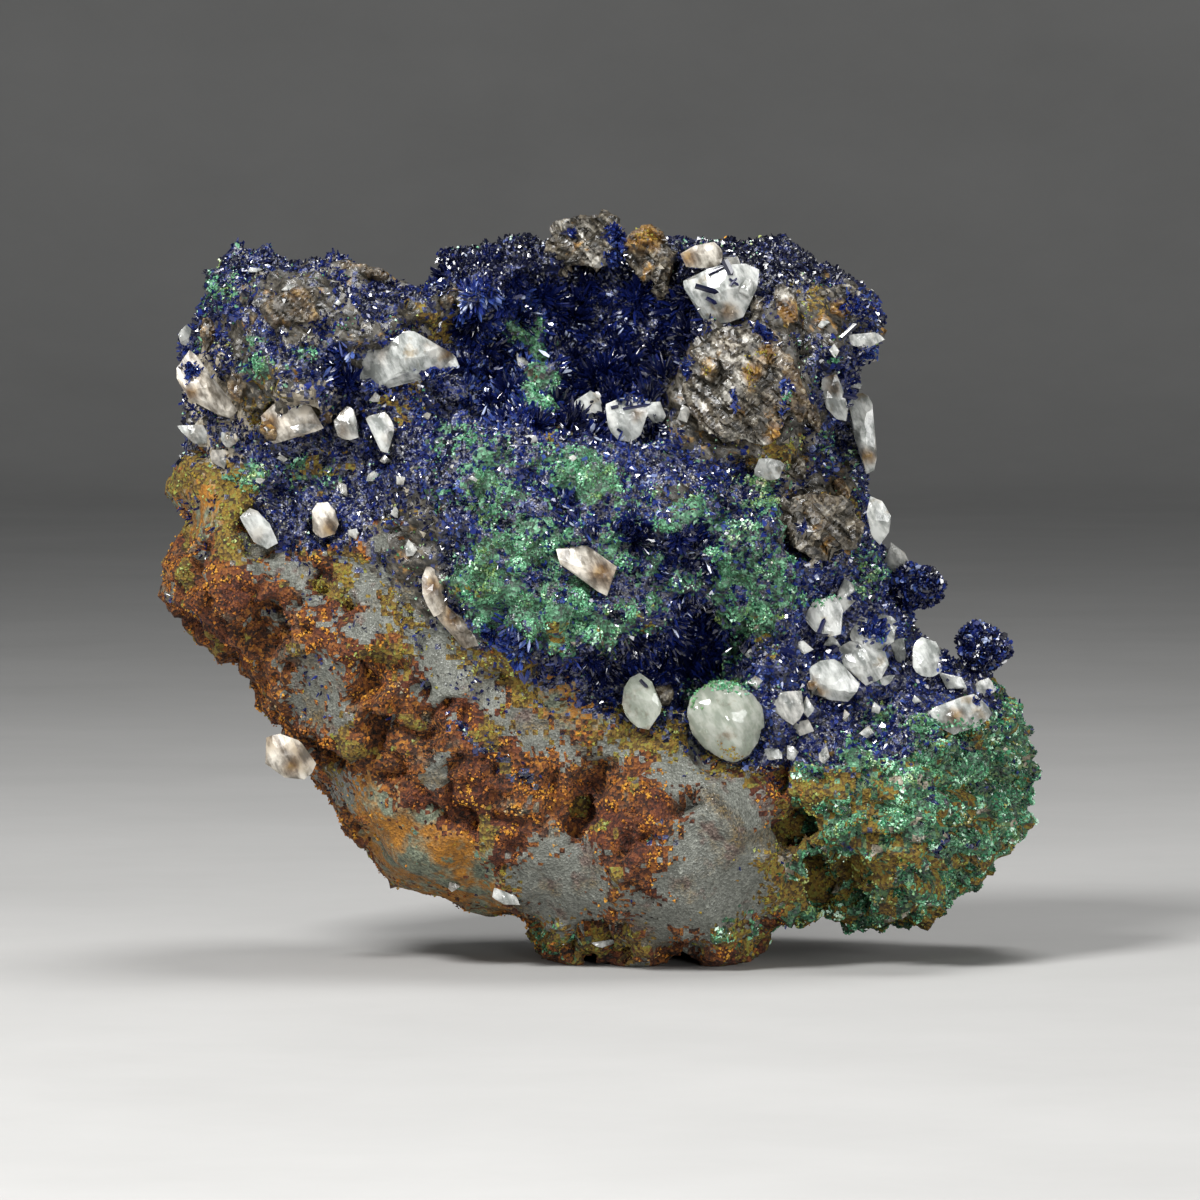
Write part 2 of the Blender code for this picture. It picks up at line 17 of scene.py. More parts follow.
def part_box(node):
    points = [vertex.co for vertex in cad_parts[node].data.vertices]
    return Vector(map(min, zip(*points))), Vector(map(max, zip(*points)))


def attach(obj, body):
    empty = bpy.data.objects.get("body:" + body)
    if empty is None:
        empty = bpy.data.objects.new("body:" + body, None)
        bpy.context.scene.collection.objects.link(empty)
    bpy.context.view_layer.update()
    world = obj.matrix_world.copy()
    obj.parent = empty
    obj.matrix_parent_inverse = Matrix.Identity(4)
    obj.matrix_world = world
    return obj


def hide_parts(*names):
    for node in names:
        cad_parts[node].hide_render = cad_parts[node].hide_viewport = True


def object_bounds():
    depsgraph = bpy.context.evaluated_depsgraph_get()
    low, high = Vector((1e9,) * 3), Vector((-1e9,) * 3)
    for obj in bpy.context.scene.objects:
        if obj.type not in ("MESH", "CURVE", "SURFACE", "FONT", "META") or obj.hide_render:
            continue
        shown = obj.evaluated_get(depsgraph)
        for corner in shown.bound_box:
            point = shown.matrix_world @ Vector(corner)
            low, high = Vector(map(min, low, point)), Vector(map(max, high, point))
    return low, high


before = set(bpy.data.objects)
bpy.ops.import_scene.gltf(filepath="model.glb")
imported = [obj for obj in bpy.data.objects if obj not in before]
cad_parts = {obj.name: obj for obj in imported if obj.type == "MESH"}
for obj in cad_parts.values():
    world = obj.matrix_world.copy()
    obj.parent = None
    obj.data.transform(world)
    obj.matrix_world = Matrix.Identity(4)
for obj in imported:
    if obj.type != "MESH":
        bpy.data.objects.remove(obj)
CAD_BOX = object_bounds()

MM = 0.001
SEED = 11

# The camera looks at the rock's middle from a little above.
AIM_HEIGHT = 36.0
CAMERA_DISTANCE = 900.0
CAMERA_ELEVATION = 3.0
SEEN_WIDTH = 120.0  # what the picture spans at the rock
SENSOR = 36.0

ROCK_VOXEL = 0.53  # the finest real relief of the rock itself
BACK_STARTS = 7.0  # at about this depth the rock's face, with its minerals, gives way to its back
LEFT_BLOCK_ENDS = -14.0  # left of this x lies the block beside the hollow
CAVE_TOP = 42.0  # blades below this height line the small cave, and those above it the hollow
HOLLOW_RIM = 66.5  # from here up the hollow's blades grow short

# The rock's knobs. Its relief and the grains that lie on it share them, so that the grains sit on
# the knobs and not in the air.
KNOB_SPACING = 1.9
KNOB_SEED = 124

# What each place is made of, in the order of ROCK_FINISHES.
SCHIST, AZURITE, BLADES, MALACHITE, LIMONITE, SANDSTONE, OCHRE, GREEN, CREAM, PALE = range(10)

# Large regions of the face, each an outline of (x, z). Whatever they leave is azurite.
REGIONS = [
    (LIMONITE, [  # the rusty lower left
        (-50, 50.5), (-39.5, 50.5), (-37.5, 48.5), (-36.0, 44.5), (-34.0, 41.5), (-30, 40.5),
        (-25.5, 41.5), (-21.5, 40), (-17, 37), (-15, 33.5), (-12, 31), (-8, 29.5), (-4, 26.5),
        (0, 23.8), (5, 22.5), (9, 20), (16, 18.8), (19, 18.5), (18.5, 14), (17.5, 10), (19, 5),
        (19, -5), (-50, -5),
    ]),
    (GREEN, [  # the layered green mass at the lower right
        (19, 18.5), (24, 19), (28, 21.5), (34, 22.5), (39.0, 24.0), (41.0, 27.0), (52, 26),
        (52, -5), (19, -5), (19, 5), (17.5, 10), (18.5, 14),
    ]),
    (BLADES, [  # the hollow of long blades
        (-16.5, 70.0), (-12.0, 71.5), (-4, 71.8), (2, 70.2), (8.5, 68.5), (9.8, 63.0), (8.6, 58.2),
        (8.4, 54.0), (4.0, 52.0), (-4.0, 52.3), (-10.0, 53.0), (-13.2, 56.0), (-14.6, 61.0),
        (-13.5, 65.0), (-16.5, 67.0),
    ]),
    (BLADES, [  # the dark cave under the bulge
        (-4.5, 31.2), (0.5, 31.5), (5.0, 33.5), (10.0, 35.5), (13.5, 34.5), (15.0, 31.0),
        (12.0, 28.5), (6.5, 27.3), (1.0, 28.0), (-4.0, 29.0),
    ]),
]

# Patches on the face, each an ellipse of (x, z, half width, half height, turn in degrees). A later
# group lies over the earlier ones.
PATCHES = [
    (SCHIST, [
        (-30.5, 65.3, 5, 4.2, 0), (-36.2, 60, 1.6, 4.5, 10), (-33.5, 57, 3.6, 2.6, -20),
        (-23, 68.6, 5.4, 1.4, -12), (-19.5, 63, 3.8, 2, 10), (-24.5, 62.5, 1.8, 3, 20),
        (-19.5, 42.5, 3.4, 4.6, 25), (-18, 37.5, 2.4, 3.5, 30), (19.5, 65, 2.7, 6.5, 10),
        (24.3, 65.6, 3, 3.6, 0), (16.6, 61, 3, 5, 20), (13, 57, 6.8, 7.4, -25),
    ]),
    (MALACHITE, [
        (-36.4, 69.7, 1.1, 0.7, 30), (-36.7, 67.1, 0.7, 1.1, -20), (-29.7, 60.7, 1, 0.8, 0),
        (-30.3, 48, 0.7, 1.1, 0), (-27.1, 47.6, 0.9, 0.6, 0), (-14.5, 51.8, 2.8, 1.4, -5),
        (-10.2, 50.6, 1.2, 0.8, 0), (-11.2, 47.2, 3.1, 2.8, 0), (-10, 41.5, 3.1, 2.2, 0),
        (-11.3, 38, 4.3, 2.2, -10), (-16.2, 45.5, 0.9, 1.2, 0), (-1.4, 48.2, 3.9, 2.9, 15),
        (-5.4, 50.4, 1.1, 1.1, 0), (-6.7, 40.6, 2.4, 4.7, 10), (-3.9, 43.2, 2.1, 1.3, -10),
        (1.9, 41, 1.9, 1.7, 0), (5.8, 39.4, 1.4, 2, 20), (2.2, 45.7, 1.1, 0.9, 0),
        (4.2, 43.5, 2.2, 1, -15), (9.4, 45.2, 1.8, 1.3, 0), (-2, 37.2, 2, 1.4, 0),
        (16.6, 46.9, 2.2, 2.2, 35), (11.2, 44.6, 1.3, 1.2, 0), (14.6, 43.3, 2.5, 1.4, 0),
        (14.8, 38.8, 3.7, 2.9, 0), (19.7, 39.9, 1.5, 1, 0), (21.5, 52.2, 1.5, 1.1, 0),
        (25.7, 40.5, 1, 0.9, 0), (26.6, 37.8, 1.9, 0.8, 10), (25.6, 49.1, 0.6, 1.5, 0),
        (-9, 34.2, 4.4, 2.4, -25), (-3.2, 34.4, 3.2, 2.8, -15), (2.6, 34.6, 2.8, 1.2, 5),
        (15, 34.6, 3.6, 2.9, -40), (18.3, 36.4, 2.4, 1.8, 0), (0.4, 32.4, 1.2, 2, -25),
        (13.6, 29.9, 1.2, 1.2, 0), (-7, 44.5, 0.9, 0.8, 0), (6, 47, 0.9, 0.7, 0),
        (6, 36.2, 1.4, 0.8, -20), (10.4, 46.8, 1.2, 0.7, 0), (-6.4, 60.5, 1.1, 5.2, -6),
        (-5.6, 56.6, 1.2, 2.4, 0), (-8.2, 63.2, 1, 1.4, 30), (26.5, 20.6, 4.4, 1.5, -6),
        (36.2, 19.2, 3.6, 1.5, 5), (30.5, 15.4, 4.2, 1.1, 4), (36, 11.2, 3.2, 1.3, 10),
        (24, 12.4, 2.2, 0.9, 0),
    ]),
    (AZURITE, [
        (-23, 45.5, 3.5, 1.8, -20), (16.6, 37.4, 0.6, 1.4, 20), (13.6, 36.2, 0.5, 1.2, 0),
        (-7.6, 45.9, 2, 0.8, 10), (-9.6, 39.8, 0.5, 1.6, 20), (-5, 36.6, 1.4, 0.5, -30),
        (17, 69.5, 4.5, 2.8, -20), (-11, 20.8, 1.5, 0.8, -20), (-14.4, 22.8, 0.8, 0.9, 0),
        (-8, 18.2, 1.2, 0.5, -20), (30, 23.6, 2.2, 3.6, -10), (22.4, 21.8, 2, 1.6, 0),
    ]),
    (SANDSTONE, [
        (-28.2, 27.2, 3.3, 4.1, -10), (-14.2, 28.6, 6.2, 2.2, -38), (-17.2, 32.8, 3, 2.2, -30),
        (-7, 23.6, 4.4, 1.5, -28), (-0.8, 21.4, 3.6, 1.1, -8), (-3.8, 7.6, 5.2, 4.6, 0),
        (12.2, 9.6, 6.2, 8.6, 0), (7.6, 19.4, 3.2, 2.6, -10), (6, 5, 4, 3.6, 0),
    ]),
    (GREEN, [
        (-28.4, 48.6, 2.8, 1, -8), (-13.4, 37.3, 1.4, 0.8, -15), (0.9, 31, 1, 0.9, 0),
        (-4.2, 33.4, 0.7, 1.2, 30), (-9.6, 32, 1, 0.6, -30), (-3, 31, 0.8, 1.2, 30),
        (4.8, 33.8, 1.2, 0.6, 0), (16.6, 32.6, 0.9, 0.9, 0), (-4.4, 2.2, 3.6, 1, 0),
        (14.2, 2, 3, 1.4, 0),
    ]),
    (CREAM, [
        (-30.3, 54.9, 3.4, 1.8, 8), (-40.5, 58.2, 2.2, 3.6, -25), (-38, 50.1, 1.2, 0.8, 0),
    ]),
    (OCHRE, [
        (-16.2, 63.8, 1.6, 1.9, 0), (-19.8, 55.8, 1.1, 1.5, 20), (-18, 57.2, 0.9, 0.7, 0),
        (-33.3, 58.2, 1.6, 0.9, -40), (-40.4, 48, 2.6, 2.2, 0), (-36.4, 40.5, 1.5, 2.2, 0),
        (-4.9, 52.6, 0.5, 0.8, -25), (21.7, 65.4, 1.2, 1.3, 0), (-1.6, 22.2, 1.8, 0.5, -10),
        (-13.2, 30.4, 1.6, 0.5, -36), (-8, 28.6, 3.8, 1.2, -36), (-5, 26, 2.4, 1.2, -30),
        (0.4, 24.2, 3.6, 1.1, -18), (6, 22.4, 2.6, 1.5, 0), (13.6, 19.2, 2.6, 0.9, -20),
        (17.2, 8, 1.2, 3.4, 0), (3.4, 1.6, 1.6, 1, 0), (19.6, 12.2, 0.9, 1.6, 0),
        (24.2, 17, 1.5, 0.6, -10), (28.4, 9.4, 1.6, 0.8, 10),
    ]),
    (SCHIST, [
        (-15, 66, 1.5, 1.8, 0), (-33, 53.6, 2.4, 1.8, 0), (7.5, 47, 1.2, 1.4, 0),
        (-7.8, 58.8, 0.5, 1.4, 10), (19.3, 53.2, 2.8, 5.5, -8), (21.5, 43.9, 4.2, 4.2, -20),
    ]),
    (BLADES, [
        (-25.9, 59.2, 1.4, 2.3, 0), (-3.6, 44.9, 1, 1.6, -20), (9, 40.6, 2.8, 3.4, 20),
        (3.6, 42.6, 2, 1.2, 20), (9.4, 36, 1.4, 2, 20), (-8.6, 31.9, 3.4, 0.9, -38),
    ]),
    (MALACHITE, [
        (-34.1, 59.6, 1.2, 1.6, 0), (-39.5, 62.1, 0.5, 0.4, 0), (7.4, 44, 1.5, 0.9, 10),
        (11.6, 41.2, 1.3, 1.1, 0), (8.8, 38.2, 1.3, 0.9, 0), (12, 37.2, 1.1, 1.5, 0),
        (27.6, 24.3, 1, 1.5, 0), (32.2, 23.2, 1.1, 1.6, 20),
    ]),
    (PALE, [
        (-40.2, 44.9, 2.8, 2.3, 0), (-17.4, 10, 7.2, 4.2, -25), (-23, 15.6, 3, 2.2, -40),
        (-11.5, 6, 2.6, 1.8, 0), (-2.6, 25.6, 3.4, 1.1, -20),
    ]),
    (LIMONITE, [
        (-22.8, 41, 1.5, 3.4, -30), (-8.6, 23.4, 1.5, 0.6, -30), (8, 15.8, 2.4, 1.3, 0),
        (4.8, 9, 1.4, 3.6, 0),
    ]),
    (CREAM, [
        (-37.3, 55.2, 3.6, 1.7, -35), (22.5, 41, 0.8, 0.8, 0),
    ]),
    (SANDSTONE, [
        (-34.3, 40.6, 1.4, 2.4, 0), (-22.6, 37.4, 4.6, 2.2, -25), (-26, 17.4, 1.6, 1.6, 0),
    ]),
    (AZURITE, [
        (-33.8, 63, 1.4, 2.6, 20), (14.2, 41.4, 1.4, 0.5, -20), (22.8, 58, 1.8, 4.4, 8),
        (-21.4, 39.6, 1, 0.7, 0), (5.6, 12.2, 0.8, 0.6, 0),
    ]),
    (OCHRE, [
        (-34.6, 55.6, 0.7, 0.6, 0), (-36.6, 46.2, 2.2, 3, 0), (17.4, 50.6, 2.8, 1.5, 20),
        (24.3, 46.2, 2, 0.8, -40), (-20.4, 35.4, 1.2, 1.5, 10),
    ]),
    (SCHIST, [
        (-40.8, 54.6, 1.5, 1.2, 0), (24, 48, 1.6, 1.6, 0),
    ]),
    (LIMONITE, [
        (-26.6, 37, 1.2, 1, 0), (-18.2, 34.4, 1, 0.6, -30),
    ]),
    (CREAM, [
        (-40.3, 52.4, 1.8, 1.5, -30), (16.5, 49.2, 1, 0.9, 0),
    ]),
    (OCHRE, [
        (-25.2, 38.4, 1.7, 1, -30),
    ]),
    (MALACHITE, [
        (-35.1, 47.8, 1.6, 1.2, -25),
    ]),
]

# Deep hollows and cracks in the face: (x, z, half width, half height, turn, depth).
HOLLOWS = [
    (20, 13.2, 1.7, 1.9, 0, 3), (21.9, 7.8, 1.4, 3.2, 8, 3.6), (25.8, 6, 1.5, 0.9, -10, 1.8),
    (18.4, 18, 0.7, 1.7, -10, 1.6), (-26, 58.9, 0.8, 1.9, 8, 1.8), (-21.6, 50.4, 1.3, 0.8, -20, 1.6),
    (-22.6, 23, 0.7, 2.2, 20, 2.2), (-24.4, 28.6, 0.7, 1.9, 35, 1.9), (-25.3, 35.4, 0.6, 0.5, 0, 1.5),
    (-19.3, 22.2, 1.6, 0.7, -30, 1.7), (-15, 16.2, 0.6, 1.7, 10, 1.8), (-13.6, 24.4, 0.7, 1.6, 0, 1.5),
    (-29.6, 33, 1.3, 0.6, -20, 1.5), (-9.4, 13.8, 1.9, 0.6, -12, 1.5), (-4.6, 17.8, 0.6, 1.4, 0, 1.4),
    (-6.9, 48.4, 0.7, 0.9, 0, 1.3), (-11.9, 45.4, 0.6, 2.1, 15, 1.4), (-2, 33.6, 1.9, 0.5, -30, 1.2),
    (10.2, 33.2, 1.8, 2.2, 0, 2), (4.6, 60.4, 0.7, 2.4, -14, 1.6), (7, 55, 0.8, 1.6, 30, 1.6),
    (-31.8, 46.6, 1.2, 0.5, -10, 1.2), (-37, 47.6, 0.9, 0.6, 0, 1.2), (17.2, 60.8, 0.5, 2.2, -28, 1.4),
    (22.4, 58.4, 0.7, 1.4, 0, 1.2), (33, 8.4, 2.6, 0.5, 5, 1.8), (29.4, 15.2, 3.4, 0.6, -5, 2),
    (35, 17, 3.2, 0.5, 8, 1.8), (28, 12, 3.2, 0.5, 4, 1.7), (37.4, 13.4, 2, 0.5, 10, 1.6),
    (31, 19.6, 2.6, 0.5, -6, 1.5), (24.6, 9.2, 0.6, 1.6, 20, 1.8), (-32, 61.6, 0.5, 1.6, 30, 1),
    (-27.4, 63.4, 0.4, 1.8, -10, 1), (20.4, 62.4, 0.5, 3.2, 12, 1.8), (14.6, 49.6, 2.2, 0.5, -25, 1.4),
    (16.9, 27.4, 0.5, 1.4, 10, 1.4), (-17.6, 31.4, 0.5, 0.8, 0, 1),
]


def eye_place():
    """Where the camera stands."""
    angle = math.radians(CAMERA_ELEVATION)
    eye = np.array([0, -math.cos(angle), math.sin(angle)]) * CAMERA_DISTANCE
    return eye + (0, 0, AIM_HEIGHT)


EYE = eye_place()


def seen_spots(points):
    """Where the camera sees each point, as (x, z) in the upright plane through the rock's middle."""
    run = points - EYE
    crossing = EYE + run * (-EYE[1] / run[:, 1])[:, None]
    return crossing[:, [0, 2]]


def at_depth(spots, depth):
    """The points that the camera sees at the given face places, at the given depths along Y."""
    face = np.stack([spots[:, 0], np.zeros(len(spots)), spots[:, 1]], axis=1)
    return EYE + (face - EYE) * ((depth - EYE[1]) / -EYE[1])[:, None]


def ramp(values, start, end):
    """How far values have come from start, 0, to end, 1."""
    return np.clip((values - start) / (end - start), 0, 1)


def unit(vectors):
    """Vectors of length one in the same directions."""
    return vectors / np.maximum(np.linalg.norm(vectors, axis=1), 1e-9)[:, None]


def turned_place(x, z, along, across, turn):
    """The face place that lies along and across from (x, z), in directions turned by some degrees."""
    angle = math.radians(turn)
    return (
        x + along * math.cos(angle) - across * math.sin(angle),
        z + along * math.sin(angle) + across * math.cos(angle),
    )


def corners_of(box):
    return (np.array(corner) / MM for corner in box)


# ---------------------------------------------------------------------------------------------
# Noise over arrays of points


def hashed(cells, seed):
    """A number from 0 to 1 for each cell of a grid."""
    mixed = cells.astype(np.int64).astype(np.uint64)
    value = mixed[..., 0] * np.uint64(0x9E3779B185EBCA87)
    value ^= mixed[..., 1] * np.uint64(0xC2B2AE3D27D4EB4F)
    value ^= mixed[..., 2] * np.uint64(0x165667B19E3779F9)
    value ^= np.uint64(seed * 7919 + 1)
    for shift in (33, 29, 32):
        value ^= value >> np.uint64(shift)
        value *= np.uint64(0xFF51AFD7ED558CCD)
    return (value >> np.uint64(40)).astype(np.float64) / float(1 << 24)


# Noise is made on a grid that is turned, so that nothing lines up with the rock's own axes.
GRID_TURN = np.array(Matrix.Rotation(0.7, 3, "X") @ Matrix.Rotation(0.9, 3, "Z"))


def soft_noise(points, size, seed):
    """Smooth noise from -1 to 1 whose lumps are about one size across."""
    scaled = points @ GRID_TURN / size
    cell = np.floor(scaled)
    part = scaled - cell
    part = part * part * (3 - 2 * part)
    total = np.zeros(len(points))
    for step in itertools.product((0, 1), repeat=3):
        weight = np.prod(np.where(np.array(step), part, 1 - part), axis=1)
        total += weight * hashed(cell + np.array(step), seed)
    return 2 * total - 1


def rough_noise(points, size, seed, layers=3):
    """Smooth noise with finer layers on top, each half as large and half as high."""
    total = np.zeros(len(points))
    for layer in range(layers):
        total += soft_noise(points, size / 2**layer, seed + layer) / 2**layer
        points = points @ GRID_TURN
    return total / 1.6


def lumps(points, size, seed):
    """Packed lumps: the share of the way out from the nearest lump's middle, the offset from that
    middle, and the lump's own cell."""
    scaled = points / size
    base = np.floor(scaled)
    nearest = np.full(len(points), 9.0)
    offset = np.zeros_like(points)
    own = base.copy()
    for step in itertools.product((-1, 0, 1), repeat=3):
        cell = base + np.array(step)
        middle = cell + np.stack([hashed(cell, seed + i) for i in range(3)], axis=1)
        away = scaled - middle
        distance = np.linalg.norm(away, axis=1)
        closer = distance < nearest
        nearest = np.where(closer, distance, nearest)
        offset[closer] = away[closer]
        own[closer] = cell[closer]
    return nearest, offset * size, own


def facets(points, size, seed):
    """Flat breaks from -1 to 1: every lump ends in one plane with a tilt and a level of its own."""
    _, offset, cell = lumps(points, size, seed)
    tilt = np.stack([hashed(cell, seed + i) for i in (6, 7, 8)], axis=1) * 2 - 1
    return (offset / size * tilt).sum(axis=1) * 1.3 + hashed(cell, seed + 9) - 0.5


# ---------------------------------------------------------------------------------------------
# What each place is made of


def inside_outline(spots, outline):
    """Which spots lie inside a closed outline."""
    inside = np.zeros(len(spots), bool)
    for (ax, az), (bx, bz) in zip(outline, outline[1:] + outline[:1]):
        if az == bz:
            continue
        spans = (az > spots[:, 1]) != (bz > spots[:, 1])
        crossing = (bx - ax) * (spots[:, 1] - az) / (bz - az) + ax
        inside ^= spans & (spots[:, 0] < crossing)
    return inside


def patch_share(spots, x, z, half_width, half_height, turn):
    """How far out each spot is from the middle of an ellipse, as a share squared: 1 at its rim."""
    angle = math.radians(turn)
    across, up = spots[:, 0] - x, spots[:, 1] - z
    along = (across * math.cos(angle) + up * math.sin(angle)) / half_width
    beside = (up * math.cos(angle) - across * math.sin(angle)) / half_height
    return along**2 + beside**2


def back_kinds(points):
    """The coating of the back: schist and sandstone under rust, with a little green."""
    bent = points + 2.4 * np.stack([soft_noise(points, 5.0, 71 + i) for i in range(3)], axis=1)
    broad = rough_noise(bent, 15, 70)
    fine = rough_noise(bent, 8, 80)
    kinds = np.full(len(points), SCHIST)
    kinds[broad > 0.2] = SANDSTONE
    kinds[(fine > 0.16) & (broad > 0.1)] = PALE
    kinds[broad < -0.02] = LIMONITE
    kinds[(fine < -0.2) & (broad < 0.1)] = OCHRE
    kinds[fine > 0.46] = MALACHITE
    kinds[(fine > 0.34) & (broad < -0.1)] = GREEN
    kinds[(np.abs(fine) < 0.05) & (broad > 0.05)] = CREAM
    return kinds


def kinds_at(points, spill=0.0, draw=None):
    """What the rock is made of at each point. Borders are ragged, and a spill in millimetres mixes
    grains over them."""
    spots = seen_spots(points)
    behind = 7 * ramp(points[:, 1], -6, 6)
    for axis in (0, 1):
        spots[:, axis] += 1.1 * soft_noise(points, 3.2, 20 + axis)
        spots[:, axis] += 0.65 * soft_noise(points, 1.2, 30 + axis)
        spots[:, axis] += behind * soft_noise(points, 9.0, 35 + axis)
    if spill:
        spots += spill * draw.normal(size=spots.shape) * draw.random(len(spots))[:, None]
    kinds = np.full(len(points), AZURITE)
    for kind, outline in REGIONS:
        kinds[inside_outline(spots, outline)] = kind
    for kind, patches in PATCHES:
        for patch in patches:
            kinds[patch_share(spots, *patch) < 1] = kind
    gaps = rough_noise(points, 2.6, 50)
    kinds[(kinds == MALACHITE) & (gaps < -0.36)] = AZURITE
    # The green mass is muddiest in a band low down and at its left.
    low_band = np.exp(-(((spots[:, 1] - 10) / 3.5) ** 2))
    muddy = 0.13 + 0.025 * np.clip(spots[:, 0] - 30, -6, 14) - 0.26 * low_band
    clumps = rough_noise(points, 1.5, 55)
    mass = kinds == GREEN
    kinds[mass & (clumps > muddy)] = OCHRE
    kinds[mass & (clumps < -0.5)] = CREAM
    kinds[mass & (rough_noise(points, 2.2, 57) > 0.34)] = MALACHITE
    # Above its main band, which slopes down to the right, the rust thins out to ochre and stone.
    over = np.clip((spots[:, 1] - 36.7 + 0.66 * (spots[:, 0] + 32.5)) / 2, 0, 1)
    over *= ramp(spots[:, 0], -4, -8)
    rust = rough_noise(points, 3.2, 60)
    rusted = kinds == LIMONITE
    kinds[rusted & (rust > 0.38 - 0.36 * over)] = OCHRE
    kinds[rusted & (rust < -0.5 + 0.32 * over)] = SANDSTONE
    border = BACK_STARTS + 2.5 + np.clip(13 * rough_noise(points, 10, 40), -6, 8)
    if spill:
        border = border + spill * draw.normal(size=len(points))
    back = points[:, 1] > border
    kinds[back] = back_kinds(points[back])
    return kinds


# ---------------------------------------------------------------------------------------------
# Meshes from arrays


def mesh_object(name, points, faces, materials, tint=None, slots=None, smooth=False):
    """A linked object from points in millimetres and an array of faces with equal corner counts."""
    mesh = bpy.data.meshes.new(name)
    count, corners = faces.shape
    mesh.vertices.add(len(points))
    mesh.vertices.foreach_set("co", (points * MM).astype(np.float32).ravel())
    mesh.loops.add(count * corners)
    mesh.loops.foreach_set("vertex_index", faces.astype(np.int32).ravel())
    mesh.polygons.add(count)
    mesh.polygons.foreach_set("loop_start", np.arange(count, dtype=np.int32) * corners)
    mesh.polygons.foreach_set("use_smooth", np.full(count, smooth))
    for material in materials:
        mesh.materials.append(material)
    if slots is not None:
        mesh.polygons.foreach_set("material_index", slots.astype(np.int32))
    if tint is not None:
        layer = mesh.attributes.new("tint", "FLOAT", "POINT")
        layer.data.foreach_set("value", tint.astype(np.float32))
    mesh.update(calc_edges=True)
    mesh.validate()
    made = bpy.data.objects.new(name, mesh)
    bpy.context.scene.collection.objects.link(made)
    return made


def ride(piece, slot, *replaced):
    """Fixes a piece to the specimen's one body and hides the CAD model's pieces that it replaces. slot,
    what it stands for, is not used.
    """
    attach(piece, "root")
    if replaced:
        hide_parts(*replaced)


def remeshed(mesh, voxel):
    """Points, four-cornered faces and edges of a mesh rebuilt as an even net."""
    scratch = bpy.data.objects.new("scratch", mesh)
    bpy.context.scene.collection.objects.link(scratch)
    net = scratch.modifiers.new("net", "REMESH")
    net.mode = "VOXEL"
    net.voxel_size = voxel * MM
    graph = bpy.context.evaluated_depsgraph_get()
    even = scratch.evaluated_get(graph).to_mesh()
    points = np.empty(len(even.vertices) * 3, np.float32)
    even.vertices.foreach_get("co", points)
    faces = np.empty(len(even.loops), np.int32)
    even.loops.foreach_get("vertex_index", faces)
    edges = np.empty(len(even.edges) * 2, np.int32)
    even.edges.foreach_get("vertices", edges)
    bpy.data.objects.remove(scratch)
    bpy.data.meshes.remove(mesh)
    return points.reshape(-1, 3).astype(np.float64) / MM, faces.reshape(-1, 4), edges.reshape(-1, 2)


def smoothed(values, edges, passes):
    """Values at points, each pass moving every one halfway to the mean of its neighbours."""
    values = values.copy()
    flat = values if values.ndim > 1 else values[:, None]
    ends = np.concatenate([edges, edges[:, ::-1]])
    degree = np.bincount(ends[:, 0], minlength=len(flat))
    for _ in range(passes):
        for axis in range(flat.shape[1]):
            total = np.bincount(ends[:, 0], weights=flat[ends[:, 1], axis], minlength=len(flat))
            flat[:, axis] = (flat[:, axis] + total / np.maximum(degree, 1)) / 2
    return flat if values.ndim > 1 else flat[:, 0]


def point_normals(points, faces):
    """Outward directions at points, from the faces that meet there."""
    a, b, c = points[faces[:, 0]], points[faces[:, 1]], points[faces[:, 2]]
    d = points[faces[:, -1]]
    across = np.cross(c - a, d - b) if faces.shape[1] == 4 else np.cross(b - a, c - a)
    normals = np.zeros_like(points)
    for corner in range(faces.shape[1]):
        for axis in range(3):
            normals[:, axis] += np.bincount(
                faces[:, corner], weights=across[:, axis], minlength=len(points)
            )
    return unit(normals)


# ---------------------------------------------------------------------------------------------
# The rock itself


